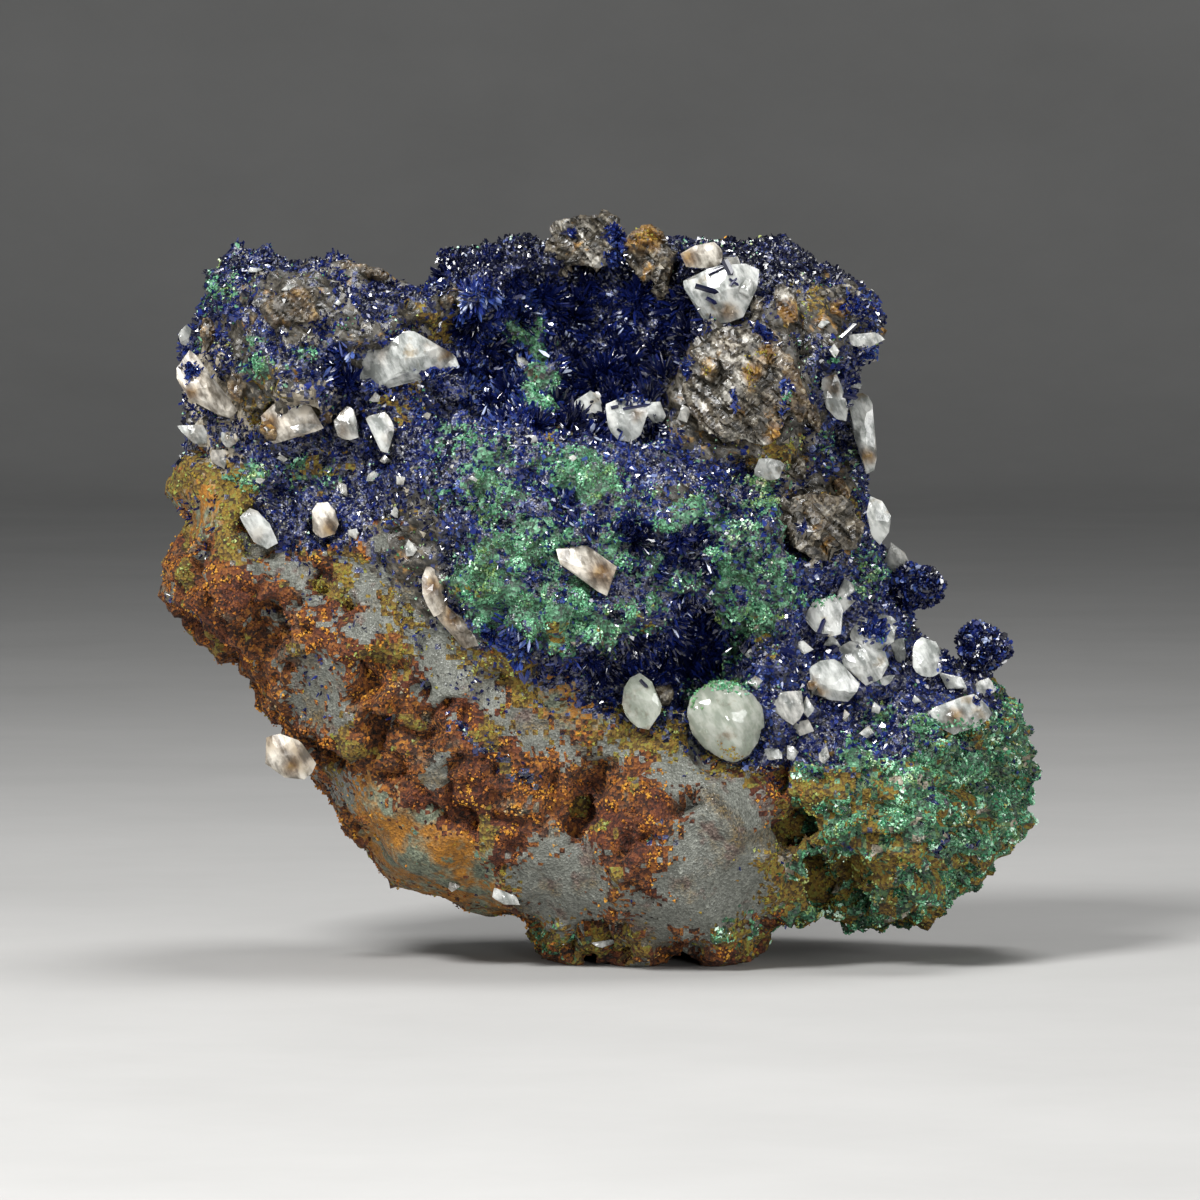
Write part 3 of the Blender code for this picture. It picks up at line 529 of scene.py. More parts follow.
def relief(points, kinds):
    """How far each point of the rock is pushed out, by what it is made of."""
    away, _, cell = lumps(points, 3.1, 110)
    pick = hashed(cell, 115)
    small_away, _, small_cell = lumps(points, 1.25, 120)
    small_pick = hashed(small_cell, 125)
    grain = rough_noise(points, 0.9, 130, layers=2)
    broken = rough_noise(points, 3.0, 140)
    flat = facets(points, 3.6, 170)
    chips = facets(points, 1.7, 180)
    dome = np.clip(1 - away**2 * 1.5, -0.5, 1)
    knob_away, _, knob_cell = lumps(points, KNOB_SPACING, KNOB_SEED)
    knob = np.clip(1 - knob_away**2 * 1.9, -0.5, 1) * (0.6 + 0.6 * hashed(knob_cell, 116))
    bead = np.clip(1 - small_away**2 * 1.9, -0.4, 1)
    pits = np.clip((-broken - 0.14) * 5, 0, 1)
    hole = np.exp(-((small_away / 0.2) ** 2)) * (small_pick > 0.62)
    slant = points @ np.array([0.45, 0.25, 0.86])
    layer = (slant / 1.15 + 0.7 * soft_noise(points, 5, 160)) % 1.0
    ledge = np.round((points[:, 2] + 1.4 * soft_noise(points, 6, 150)) / 2.1) * 2.1 - points[:, 2]

    crumbs = 0.7 * broken + 0.45 * bead + 0.25 * grain + 0.3 * chips
    heights = {
        AZURITE: 0.7 * dome + 0.35 * bead + 0.35 * chips + 0.2 * grain - 0.75 * pits - 0.55,
        BLADES: 0.8 * dome + 0.5 * broken - 0.5 * pits - 1.15,
        MALACHITE: 0.7 * dome * pick + 2.1 * knob + 0.3 * bead - 0.8 * hole - 0.7,
        LIMONITE: 1.4 * crumbs - 2.2 * pits - 0.15,
        OCHRE: 0.7 * crumbs + 0.5 * knob - 0.6 * pits,
        PALE: 0.3 * crumbs,
        SANDSTONE: 0.25 * broken + 0.1 * chips + 0.05 * grain - 0.15,
        GREEN: 0.4 * dome + 0.9 * knob + 0.9 * ledge + 0.3 * chips - 1.6 * pits - 0.3,
        SCHIST: 0.85 * flat + 0.6 * chips + 0.5 * (layer - 0.5) + 0.2 * grain - 0.1,
        CREAM: 0.55 * flat + 0.4 * chips + 0.12 * grain,
    }
    out = 0.3 * rough_noise(points, 4.0, 100)
    for kind, height in heights.items():
        out += np.where(kinds == kind, height, 0)
    spots = seen_spots(points)
    front = points[:, 1] < BACK_STARTS
    for *patch, depth in HOLLOWS:
        out -= depth * np.clip(1.3 - patch_share(spots, *patch), 0, 1) * front
    return out


def build_rock():
    """The host rock, with real relief down to about half a millimetre. Its sole stays flat."""
    points, faces, edges = remeshed(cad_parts["host_rock"].data.copy(), ROCK_VOXEL)
    points = smoothed(points, edges, 2)
    normals = point_normals(points, faces)
    push = smoothed(relief(points, kinds_at(points)), edges, 1)
    sole = points[:, 2] < 0.6
    points = points + normals * np.where(sole, 0, push)[:, None]
    points[:, 2] = np.where(sole, np.maximum(points[:, 2], 0), np.maximum(points[:, 2], 0.1))
    normals = point_normals(points, faces)
    kinds = kinds_at(points[faces].mean(axis=1), 1.3, np.random.default_rng(SEED))
    rock = mesh_object("rock_matrix", points, faces, ROCK_FINISHES, slots=kinds, smooth=True)
    ride(rock, "iron_stained_rock", "host_rock")
    return points, faces, normals


class Ground:
    """The rock's surface as a place to grow things on."""

    def __init__(self, points, faces, normals):
        self.points, self.normals = points, normals
        self.triangles = np.concatenate([faces[:, [0, 1, 2]], faces[:, [0, 2, 3]]])
        a, b, c = (points[self.triangles[:, i]] for i in range(3))
        self.areas = np.linalg.norm(np.cross(b - a, c - a), axis=1) / 2
        self.middles = (a + b + c) / 3
        # How readily things grow on each triangle: best on the face and the top, least at the back.
        out = self.middle_normals()
        self.front = np.clip(0.6 - 0.55 * out[:, 1] + 0.15 * out[:, 2], 0.2, 1.0)
        self.front *= np.where(self.middles[:, 1] > BACK_STARTS + 6, 0.5, 1.0)

    def cover(self, outlines):
        """Keeps things from growing where pieces of the face cover the ground."""
        spots = seen_spots(self.middles)
        face = (self.middles[:, 1] < BACK_STARTS) & (self.middle_normals()[:, 1] < -0.35)
        for outline in outlines:
            low, high = np.min(outline, axis=0), np.max(outline, axis=0)
            near = np.flatnonzero(face & ((spots > low) & (spots < high)).all(axis=1))
            self.front[near[inside_outline(spots[near], outline)]] = 0

    def middle_normals(self):
        """The outward direction of each triangle."""
        return self.normals[self.triangles].mean(axis=1)

    def scatter(self, kinds, count, draw, spill=0.5, where=None):
        """Random places on the ground of some kinds, or of any: the points and the outward
        directions. where weighs the ground further by its places."""
        chance = self.areas * self.front * (self.middles[:, 2] > 0.9)
        if kinds is not None:
            chance = chance * np.isin(kinds_at(self.middles, spill, draw), kinds)
        if where is not None:
            chance = chance * where(self.middles)
        picked = draw.choice(len(chance), size=count, p=chance / chance.sum())
        first, second = draw.random((2, count))
        over = first + second > 1
        first[over], second[over] = 1 - first[over], 1 - second[over]
        corners = self.triangles[picked]
        shares = np.stack([1 - first - second, first, second], axis=1)[:, :, None]
        points = (self.points[corners] * shares).sum(axis=1)
        return points, unit((self.normals[corners] * shares).sum(axis=1))


# ---------------------------------------------------------------------------------------------
# Small shapes that are grown in thousands

BLADE = (  # a flat crystal with a chisel end, one long, narrowing to the point that it grew from
    np.array([
        (0.0, 0.0, -0.2), (-0.5, -0.5, 0.55), (0.5, -0.5, 0.5), (0.5, 0.5, 0.5),
        (-0.5, 0.5, 0.55), (-0.24, 0.0, 1.0), (0.3, 0.0, 0.92),
    ]),
    np.array([
        (0, 2, 1), (0, 3, 2), (0, 4, 3), (0, 1, 4), (1, 2, 6), (1, 6, 5), (2, 3, 6), (3, 4, 5),
        (3, 5, 6), (4, 1, 5),
    ]),
)
WEDGE = (  # a short crystal with a ridge on top
    np.array([
        (-0.5, -0.5, -0.3), (0.5, -0.5, -0.3), (0.5, 0.5, -0.3), (-0.5, 0.5, -0.3),
        (-0.2, 0.0, 1.0), (0.35, 0.1, 0.85),
    ]),
    np.array([
        (0, 3, 2), (0, 2, 1), (0, 1, 5), (0, 5, 4), (1, 2, 5), (2, 3, 4), (2, 4, 5), (3, 0, 4),
    ]),
)
CRUMB = (  # a rough little grain with six faces
    np.array([
        (0.55, 0.0, 0.05), (-0.3, 0.5, -0.05), (-0.25, -0.5, 0.1), (0.1, 0.05, 0.6), (0.0, 0.0, -0.5),
    ]),
    np.array([(0, 1, 3), (1, 2, 3), (2, 0, 3), (1, 0, 4), (2, 1, 4), (0, 2, 4)]),
)
PLATE = (  # a long crystal that lies down: bevelled along its sides, pointed at its far end
    np.array([
        (-0.5, 0.0, 0.0), (0.0, -0.5, 0.03), (0.5, 0.0, 0.0), (0.0, 0.5, 0.03),
        (-0.5, 0.0, 0.85), (0.0, -0.45, 0.9), (0.5, 0.0, 0.8), (0.0, 0.45, 0.9), (0.1, 0.0, 1.0),
    ]),
    np.array([
        (0, 3, 2), (0, 2, 1), (0, 1, 5), (0, 5, 4), (1, 2, 6), (1, 6, 5), (2, 3, 7), (2, 7, 6),
        (3, 0, 4), (3, 4, 7), (4, 5, 8), (5, 6, 8), (6, 7, 8), (7, 4, 8),
    ]),
)


def across_from(directions, draw):
    """A random direction square to each of the given ones."""
    return unit(np.cross(directions, draw.normal(size=directions.shape)))


def grown(shape, places, up, side, sizes):
    """Copies of a small shape as one set of points and faces. sizes holds width, thickness, length."""
    template, faces = shape
    third = np.cross(up, side)
    axes = np.stack([side, third, up], axis=1) * sizes[:, :, None]
    points = places[:, None, :] + np.einsum("vk,nkd->nvd", template, axes)
    steps = np.arange(len(places))[:, None, None] * len(template)
    return points.reshape(-1, 3), (faces[None] + steps).reshape(-1, 3)


def inside_cad_box(points, margin=0.5):
    """Which places lie within the CAD model's box, give or take a margin."""
    low, high = corners_of(CAD_BOX)
    return ((points > low - margin) & (points < high + margin)).all(axis=1) & (points[:, 2] > 0.5)


def grow_piece(name, shape, places, up, side, sizes, tint, finish):
    """One piece made of many small crystals, each with its own tint from 0 to 1."""
    tips = places + up * sizes[:, 2:]
    keep = inside_cad_box(tips)
    points, faces = grown(shape, places[keep], up[keep], side[keep], sizes[keep])
    return mesh_object(name, points, faces, [finish], tint=np.repeat(tint[keep], len(shape[0])))


# ---------------------------------------------------------------------------------------------
# Azurite


def fanned(points, normals, size, spread, draw, seed):
    """Directions that fan out from common centres, as blades grown from one seed do: lengthwise and
    sideways, and a number from 0 to 1 that a centre's blades share."""
    _, offset, cell = lumps(points, size, seed)
    up = unit(normals + spread * offset / size + 0.22 * draw.normal(size=points.shape))
    side = unit(np.cross(up, offset + 0.5 * draw.normal(size=points.shape)))
    return up, side, hashed(cell, seed + 5)


def lining_blades(ground, draw):
    """Short blades all over the hollows: places, directions, sideways directions, sizes, tints."""
    count = 10500
    points, normals = ground.scatter([BLADES], count, draw, 0.7)
    up, side, pick = fanned(points, normals, 2.6, 1.5, draw, 200)
    length = 0.6 + 0.8 * draw.random(count) ** 1.5 + 0.3 * pick
    rim = ramp(points[:, 2], HOLLOW_RIM, HOLLOW_RIM + 2)
    length *= 1 - 0.45 * rim
    width = 0.2 + 0.26 * draw.random(count) ** 2
    thick = width * (0.35 + 0.3 * draw.random(count))
    tint = 0.1 + 0.4 * draw.random(count) ** 2 + 0.3 * (pick - 0.4)
    tint += 0.3 * ramp(points[:, 0], -3, -7)
    tint = np.clip(tint - 0.45 * rim, 0, 1)
    # Painted glints: a few blades take the top tint, whose colour is near white, in place of a
    # reflection.
    glints = np.where((points[:, 2] < CAVE_TOP) | (points[:, 2] > HOLLOW_RIM + 1), 0.012, 0.05)
    tint[draw.random(count) < glints] = 1.0
    return points, up, side, np.stack([width, thick, length], axis=1), tint


def spray_blades(ground, draw):
    """Sprays of long flat blades, in the same terms."""
    sprays, each = 90, 40
    roots, outward = ground.scatter(
        [BLADES], sprays, draw, 0.2, lambda middles: ramp(middles[:, 2], 69.5, 65.5)
    )
    roots, outward = np.repeat(roots, each, axis=0), np.repeat(outward, each, axis=0)
    lean = unit(outward * 0.75 + unit(draw.normal(size=roots.shape)))
    reach = np.repeat(1.5 + 2.0 * draw.random(sprays) ** 1.6, each)
    reach *= np.where(roots[:, 2] < CAVE_TOP, 0.55, 1.0)
    width = 0.26 + 0.3 * draw.random(len(roots)) ** 1.5
    length = reach * (0.65 + 0.35 * draw.random(len(roots)))
    shade = np.repeat(0.3 * draw.random(sprays) ** 1.5, each)
    tint = np.clip(shade + 0.22 * draw.random(len(roots)) ** 2, 0, 1)
    sizes = np.stack([width, width * 0.3, length], axis=1)
    return roots, lean, across_from(lean, draw), sizes, tint


def grow_hollow_blades(ground):
    """Short blades that line the hollows, with sprays of long ones over them."""
    draw = np.random.default_rng(SEED + 1)
    both = zip(lining_blades(ground, draw), spray_blades(ground, draw))
    grown_from = [np.concatenate(pair) for pair in both]
    piece = grow_piece("azurite_hollow_blades", BLADE, *grown_from, AZURITE_GLASS)
    ride(piece, "azurite", "azurite_hollow_crust")


def grow_field_crystals(ground):
    """Short crystals that crust the rest of the blue ground."""
    draw = np.random.default_rng(SEED + 2)
    count = 17500
    points, normals = ground.scatter([AZURITE], count, draw, 1.1)
    up, side, pick = fanned(points, normals, 1.5, 1.3, draw, 210)
    length = 0.18 + 0.42 * draw.random(count) ** 3
    width = 0.22 + 0.46 * draw.random(count) ** 2.6
    thick = width * (0.5 + 0.4 * draw.random(count))
    patch = rough_noise(points, 3.2, 215)
    rim = 0.42 * ramp(points[:, 2], 65, 69) * (points[:, 0] > LEFT_BLOCK_ENDS)
    tint = 0.14 - rim - 0.16 * (points[:, 0] < LEFT_BLOCK_ENDS) + 0.55 * draw.random(count) ** 1.6
    tint += 0.35 * (pick - 0.4) + 0.35 * patch
    tint = np.clip(tint - 0.25 * ((points[:, 2] < 25) & (points[:, 0] < 8)), 0, 1)
    sizes = np.stack([width, thick, length], axis=1)
    piece = grow_piece(
        "azurite_field_crystals", WEDGE, points, up, side, sizes, tint, AZURITE_GLASS
    )
    ride(piece, "azurite")


def grow_stray_azurite(ground):
    """Single blades and small knots of them on the rust, the schist and the green."""
    draw = np.random.default_rng(SEED + 3)
    count = 3800

    def knots(middles):
        spots = seen_spots(middles)
        upper = np.maximum(ramp(spots[:, 1], 14, 46), 0.015)
        upper *= np.where((spots[:, 0] < LEFT_BLOCK_ENDS) & (spots[:, 1] > 48), 1.6, 1)
        return np.clip(rough_noise(middles, 2.4, 230) - 0.08, 0, 1) * upper

    kinds = [SCHIST, MALACHITE, CREAM, GREEN, PALE, SANDSTONE]
    points, normals = ground.scatter(kinds, count, draw, 0.5, knots)
    up, side, _ = fanned(points, normals, 1.5, 1.4, draw, 220)
    width = 0.16 + 0.22 * draw.random(count)
    sizes = np.stack([width, width * 0.5, 0.2 + 0.5 * draw.random(count) ** 2], axis=1)
    tint = np.clip(0.1 + 0.5 * draw.random(count), 0, 1)
    piece = grow_piece("azurite_strays", WEDGE, points, up, side, sizes, tint, AZURITE_GLASS)
    ride(piece, "azurite")


def rosette_reach(out, sides):
    """How far an angular body reaches in each direction: the nearest of its flat sides."""
    normals, heights = sides
    return (heights / np.maximum(out @ normals.T, 0.05)).min(axis=1)


def build_rosette(name, node, seed):
    """A free-standing knot of azurite: an angular body with flat sides, set all over with blades."""
    draw = np.random.default_rng(SEED + seed)
    low, high = corners_of(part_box(node))
    middle, half = (low + high) / 2, (high - low) / 2
    sides = unit(draw.normal(size=(12, 3))), draw.uniform(0.6, 0.88, 12)
    count = 1250
    out = unit(draw.normal(size=(count, 3)))
    body = np.minimum(rosette_reach(out, sides), 0.98) * 0.9
    facing = sides[0][(sides[1] / np.maximum(out @ sides[0].T, 0.05)).argmin(axis=1)]
    places = middle + out * half * body[:, None]
    _, offset, cell = lumps(out, 0.5, 250 + seed)
    up = unit(0.7 * facing + 0.5 * out + 1.3 * offset / 0.5 + 0.3 * draw.normal(size=out.shape))
    width = 0.26 + 0.7 * draw.random(count) ** 2.4
    length = np.minimum(0.25 + 0.6 * draw.random(count) ** 2, (1.04 - body) * half.mean() + 0.2)
    sizes = np.stack([width, width * 0.32, length], axis=1)
    points, faces = grown(BLADE, places, up, across_from(up, draw), sizes)
    tint = np.clip(0.85 * draw.random(count) ** 3.2 + 0.3 * (hashed(cell, 261) - 0.4), 0, 1)
    core_out, core_faces = round_core()
    core_reach = np.minimum(rosette_reach(core_out, sides), 0.98) * 0.88
    core = middle + core_out * half * core_reach[:, None]
    faces = np.concatenate([faces, core_faces + len(points)])
    tint = np.concatenate([np.repeat(tint, len(BLADE[0])), np.full(len(core), 0.1)])
    ball = mesh_object(name, np.concatenate([points, core]), faces, [AZURITE_GLASS], tint=tint)
    ride(ball, "azurite", node)


def round_core():
    """Directions evenly round a ball, and the faces between them."""
    steps, rings = 24, 14
    points = [(0.0, 0.0, -1.0)]
    for ring in range(1, rings):
        polar = math.pi * ring / rings
        for step in range(steps):
            turn = 2 * math.pi * step / steps
            flat = math.sin(polar)
            points.append((flat * math.cos(turn), flat * math.sin(turn), -math.cos(polar)))
    points.append((0.0, 0.0, 1.0))
    last = len(points) - 1
    top = 1 + (rings - 2) * steps
    faces = []
    for step in range(steps):
        after = (step + 1) % steps
        faces.append((0, 1 + after, 1 + step))
        faces.append((last, top + step, top + after))
        for ring in range(rings - 2):
            a, b = 1 + ring * steps + step, 1 + ring * steps + after
            faces += [(a, b, b + steps), (a, b + steps, a + steps)]
    return np.array(points), np.array(faces)


# ---------------------------------------------------------------------------------------------
# Malachite, rust, mica and dust


def grow_crumbs(
    ground, name, slot, kinds, count, seed, spill, size, tint, finish, knob, where=None, node=None
):
    """Grains packed over the ground of some kinds, heaped into knobs. size is (smallest, spread),
    tint a function of the places, and knob (distance apart, height, share with a hollow middle).
    node is the CAD model's piece that the grains stand for, if any. Each grain's tint is raised on
    a knob's top and lowered between knobs and in hollow middles: painted highlight and painted shade."""
    draw = np.random.default_rng(SEED + seed)
    points, normals = ground.scatter(kinds, count, draw, spill, where)
    apart, height, hollow = knob
    away, offset, cell = lumps(points, apart, KNOB_SEED)
    rise = np.clip(1 - (away / 0.66) ** 2, -0.3, 1)
    cup = np.exp(-((away / 0.22) ** 2)) * (hashed(cell, KNOB_SEED) < hollow)
    up = unit(normals + 1.1 * offset / apart + 0.35 * draw.normal(size=points.shape))
    across = size[0] + size[1] * draw.random(count) ** 1.8
    sizes = np.stack([across, across * 0.85, across * (0.5 + 0.5 * draw.random(count))], axis=1)
    points = points + normals * (height * (rise - 1.3 * cup) - 0.32 * across)[:, None]
    # Painted highlight and painted shade: grains on a knob's top are tinted lighter, and grains between
    # knobs and in a knob's hollow middle are tinted darker.
    tints_with_painted_shade = np.clip(tint(points, draw) + 0.95 * (rise - 0.5) - 0.6 * cup, 0, 1)
    piece = grow_piece(name, CRUMB, points, up, across_from(up, draw), sizes, tints_with_painted_shade, finish)
    ride(piece, slot, *([node] if node else []))


def mottled(size, seed, level, swing, jitter):
    """A tint that drifts over the ground in patches, with some chance in each grain."""
    return lambda points, draw: (
        level + swing * rough_noise(points, size, seed) + jitter * (draw.random(len(points)) - 0.5)
    )


# Where the rust is brighter or darker than elsewhere: (x, z, radius, how far).
RUST_TONES = [
    (-40.5, 40, 4.5, 0.45), (-29.4, 34, 1.6, 0.4), (-22.4, 28.6, 3.2, 0.45), (-21.9, 37.6, 1.8, 0.4),
    (-12.4, 13.8, 2.6, 0.45), (-6.4, 12, 2.2, 0.45), (-25.4, 19.4, 1.4, 0.4), (-18, 26.6, 2, 0.4),
    (-4.6, 16, 1.8, 0.3), (6.6, 12.6, 1.8, 0.4), (-9.5, 21.4, 2, 0.3), (-35, 32.6, 4, -0.25),
    (-20.5, 22.6, 2.4, -0.3), (-14.4, 19.6, 3.4, -0.2), (-9, 17, 3, -0.2), (-2.4, 18.6, 2.6, -0.2),
    (5, 7.6, 1.6, -0.25),
]


def rusty(points, draw):
    """The tint of the rust: mottled, bright orange in a few places and darker in others. Its grains get
    painted shade in the hollows where they are grown.
    """
    spots = seen_spots(points)
    tone = mottled(3.0, 140, 0.42, 1.1, 0.1)(points, draw)
    for x, z, radius, change in RUST_TONES:
        away = np.linalg.norm(spots - (x, z), axis=1)
        tone += change * np.clip(1 - away / (1.4 * radius), 0, 1)
    return tone


def muddy(points, draw):
    """The tint of the ochre: yellow-green among the copper minerals, browner on the rust."""
    spots = seen_spots(points)
    copper = ramp(spots[:, 1], 27, 30) * ramp(spots[:, 0], -19, -16)
    copper = np.maximum(copper, 0.5 * ramp(spots[:, 0], 16, 19))
    return mottled(2.6, 270, 0.42, 0.6, 0.4)(points, draw) + 0.4 * copper


def grow_earths(ground):
    """The small grains of every earthy and velvety ground."""
    grow_crumbs(
        ground, "malachite_tufts", "malachite", [MALACHITE], count=20000, seed=4, spill=0.5,
        size=(0.2, 0.22), tint=mottled(2.2, 250, 0.43, 0.5, 0.5), finish=MALACHITE_VELVET,
        knob=(KNOB_SPACING, 0.3, 0.25), node="malachite_crust",
    )
    grow_crumbs(
        ground, "green_mass_grains", "malachite", [GREEN], count=9500, seed=5, spill=0.6,
        size=(0.24, 0.38), tint=mottled(3.0, 140, 0.38, 0.9, 0.35), finish=DARK_MALACHITE,
        knob=(KNOB_SPACING, 0.2, 0.15),
    )
    grow_crumbs(
        ground, "limonite_grains", "iron_stained_rock", [LIMONITE], count=13500, seed=6,
        spill=1.8, size=(0.18, 0.32), tint=rusty, finish=LIMONITE_GRAINS, knob=(1.5, 0.3, 0.12),
    )
    grow_crumbs(
        ground, "ochre_grains", "iron_stained_rock", [OCHRE], count=6400, seed=7, spill=2.3,
        size=(0.2, 0.34), tint=muddy, finish=OCHRE_GRAINS, knob=(KNOB_SPACING, 0.2, 0.1),
    )
    grow_crumbs(
        ground, "vein_grains", "quartz", [AZURITE, CREAM], count=4400, seed=9, spill=1.0,
        size=(0.18, 0.4), tint=mottled(2.0, 280, 0.27, 0.5, 0.75), finish=VEIN_GRAINS,
        knob=(1.2, 0.2, 0.0), where=lambda middles: (
            np.clip(rough_noise(middles, 3.0, 285) + 0.16, 0.05, 1)
            * np.where((middles[:, 0] < LEFT_BLOCK_ENDS) & (middles[:, 2] > 50), 0.35, 1)
        ),
    )
    grow_crumbs(
        ground, "malachite_specks", "malachite", [AZURITE, SCHIST, CREAM], count=1500, seed=10,
        spill=1.0, size=(0.18, 0.26), tint=mottled(2.0, 290, 0.45, 0.3, 0.8),
        finish=MALACHITE_VELVET, knob=(1.2, 0.3, 0.0),
        where=lambda middles: np.clip(rough_noise(middles, 3.4, 295) - 0.02, 0.01, 1),
    )


def grow_mica(ground, fragments):
    """Mica flakes that lie in the schist's layers and catch the light."""
    draw = np.random.default_rng(SEED + 8)
    on_rock = ground.scatter([SCHIST, CREAM], 450, draw)
    on_pieces = fragments.scatter(None, 500, draw)
    points, normals = (np.concatenate(pair) for pair in zip(on_rock, on_pieces))
    layer = np.array([0.62, -0.35, 0.7])
    up = unit(2.0 * normals + 0.35 * layer + 0.2 * draw.normal(size=points.shape))
    count = len(points)
    size = 0.3 + 0.9 * draw.random(count) ** 2.2
    sizes = np.stack([size, size * 0.7, 0.08 + 0.05 * draw.random(count)], axis=1)
    side = unit(np.cross(up, layer + 0.5 * draw.normal(size=points.shape)))
    tint = np.clip(draw.random(count) ** 1.5 + 0.3 * rough_noise(points, 1.8, 298), 0, 1)
    piece = grow_piece("mica_flakes", CRUMB, points, up, side, sizes, tint, MICA)
    ride(piece, "schist")


# ---------------------------------------------------------------------------------------------
# Broken pieces of quartz and schist, each cut to the outline that its face shows

CHUNK_NET = 0.3  # spacing of the points on a broken piece
FOREMOST = -25.0  # small pieces stand no further out than this
QUARTZ_SEED, SCHIST_SEED, SET_PIECE_SEED = 400, 1800, 3000

# Node of the CAD model: outline of (x, z) on the face.
QUARTZ_OUTLINES = {
    "quartz_on_ledge": [
        (-24.8, 60.1), (-24.3, 57.8), (-23, 56.7), (-21.6, 57.5), (-20.6, 58.5), (-18, 58.3),
        (-16, 58.6), (-14.1, 59.5), (-14.4, 60.3), (-16.3, 61.2), (-17.4, 62.2), (-19.3, 62.9),
        (-20.6, 61.9), (-22.2, 60.8),
    ],
    "quartz_rim_left": [
        (-41, 61), (-42.3, 59.2), (-42, 57.6), (-40.9, 56), (-39.9, 56.2), (-38.3, 54.6), (-37, 54.2),
        (-36.2, 55), (-37.2, 55.9), (-38.3, 57), (-39.4, 58.3), (-40, 60),
    ],
    "quartz_block_left": [
        (-33.9, 54.4), (-32.4, 55.8), (-29.9, 56.6), (-29, 55.6), (-27.6, 53.2), (-29.5, 52.7),
        (-31, 52.3), (-32.6, 51.6), (-33.6, 52.8),
    ],
    "quartz_tooth_left": [
        (-26.6, 53.9), (-26, 54.7), (-25.3, 55.4), (-24.6, 55), (-24.3, 53.9), (-24.1, 52.3), (-25, 52),
        (-26.2, 52.4),
    ],
    "quartz_tooth_right": [
        (-23.4, 54.1), (-22.8, 54.5), (-21.5, 54.8), (-20.9, 54.1), (-20.6, 53), (-20.9, 52.1),
        (-21.2, 50.7), (-21.9, 50.9), (-22.4, 52),
    ],
    "quartz_chip_low": [
        (-36, 44.3), (-35, 45.2), (-34.2, 44.9), (-33.4, 44), (-32.8, 42.9), (-32.2, 41.7),
        (-33.3, 41.1), (-34.6, 41.8), (-35.2, 42.8),
    ],
    "quartz_chip_round": [
        (-28.8, 44.9), (-28.3, 45.7), (-27.2, 45.8), (-26.5, 45), (-26.1, 43.6), (-26.5, 42.6),
        (-27.8, 42.2), (-28.7, 42.9),
    ],
    "quartz_hollow_floor": [
        (0.6, 55.6), (2, 56.2), (4, 56.3), (5, 55.8), (4.6, 54.2), (4.2, 52.9), (3, 51.8), (1.8, 52),
        (0.8, 53.4),
    ],
    "quartz_top_white": [
        (8.3, 67.9), (10, 68.5), (13, 69.4), (14.6, 69.6), (15.9, 69), (15.6, 67), (14.9, 65.7),
        (14.3, 64.3), (13, 63.8), (11.6, 63.6), (10.2, 64.2), (9.8, 65.3), (10.2, 66.3), (8.4, 67.1),
    ],
    "quartz_top_yellow": [
        (8, 70.6), (9.4, 71.4), (11.4, 71.8), (12.2, 70.9), (12.1, 69.7), (10.6, 69.2), (8.6, 69.3),
    ],
    "quartz_spindle": [
        (22.4, 60), (23.2, 59.3), (23.8, 58), (24.2, 56.6), (24.8, 55.2), (24.6, 53.9), (23.6, 54.1),
        (22.6, 55.2), (22.1, 57), (22.2, 58.6),
    ],
    "quartz_plate_upper": [
        (24.8, 55.6), (25.8, 56.7), (26.8, 56.4), (27.3, 54.6), (27.4, 52.4), (27.7, 50.4), (27.4, 49),
        (26.6, 48.6), (26.2, 50.2), (25.7, 51.6), (25.3, 53.6),
    ],
    "quartz_plate_lower": [
        (27, 46.4), (28.2, 45.9), (29.1, 44.4), (28.9, 42.8), (28, 41.5), (27.1, 42.6), (26.7, 44.4),
    ],
    "quartz_cluster_back": [
        (20.3, 34.2), (21.3, 35.8), (23.4, 36.5), (24.3, 35), (24.1, 32.6), (22.2, 32.5), (21, 33.4),
    ],
    "quartz_cluster_top": [
        (25.2, 33.5), (25.8, 34.8), (26.6, 33.8), (28.2, 33.9), (29.6, 33.3), (29.4, 31.8),
        (27.8, 30.8), (26.3, 30.3), (25.5, 31.2), (25, 32.3),
    ],
    "quartz_cluster_front": [
        (20.9, 29.2), (22, 29.9), (23.4, 30.1), (24.6, 29.2), (26, 27.6), (25.7, 26.8), (25, 26.7),
        (24.8, 25.8), (22.9, 26), (21.2, 26.6), (21.4, 27.6),
    ],
    "quartz_cluster_right": [
        (31.4, 31.5), (32.2, 32.3), (33.6, 31.8), (34.2, 30.4), (34.4, 29.2), (33.3, 28.3),
        (32.2, 28.4), (31.3, 29.3),
    ],
    "quartz_cluster_low": [
        (32.7, 24.6), (33.6, 25.3), (34.8, 25.2), (36.2, 26.3), (37.4, 26.6), (38.4, 25.8),
        (39.2, 24.6), (38.8, 24), (38, 23.4), (36.4, 23.6), (35.4, 22.5), (34, 23.2),
    ],
    "quartz_small_clear": [
        (2.4, 27.2), (3, 28.2), (4, 28.7), (5.2, 27.8), (5.8, 26.2), (6.2, 25.4), (5.7, 24.2),
        (4.9, 23), (3.8, 23.2), (2.6, 24.4), (2.2, 25.6),
    ],
    "quartz_dome": [
        (8.5, 24.6), (8.9, 26.3), (10.4, 27.6), (12.2, 28.1), (13.9, 27.7), (15.4, 26.7), (16.4, 25.2),
        (16.5, 23.2), (15.9, 21.6), (15, 20.3), (13.4, 19.5), (11.9, 20), (10.4, 21), (9.1, 22.5),
    ],
    "quartz_foot_left": [
        (-33.4, 22.2), (-32, 22.6), (-29.8, 21.6), (-28.4, 19.6), (-29.6, 18), (-31.6, 18.2),
        (-33.5, 19.6), (-33.1, 20.8),
    ],
}
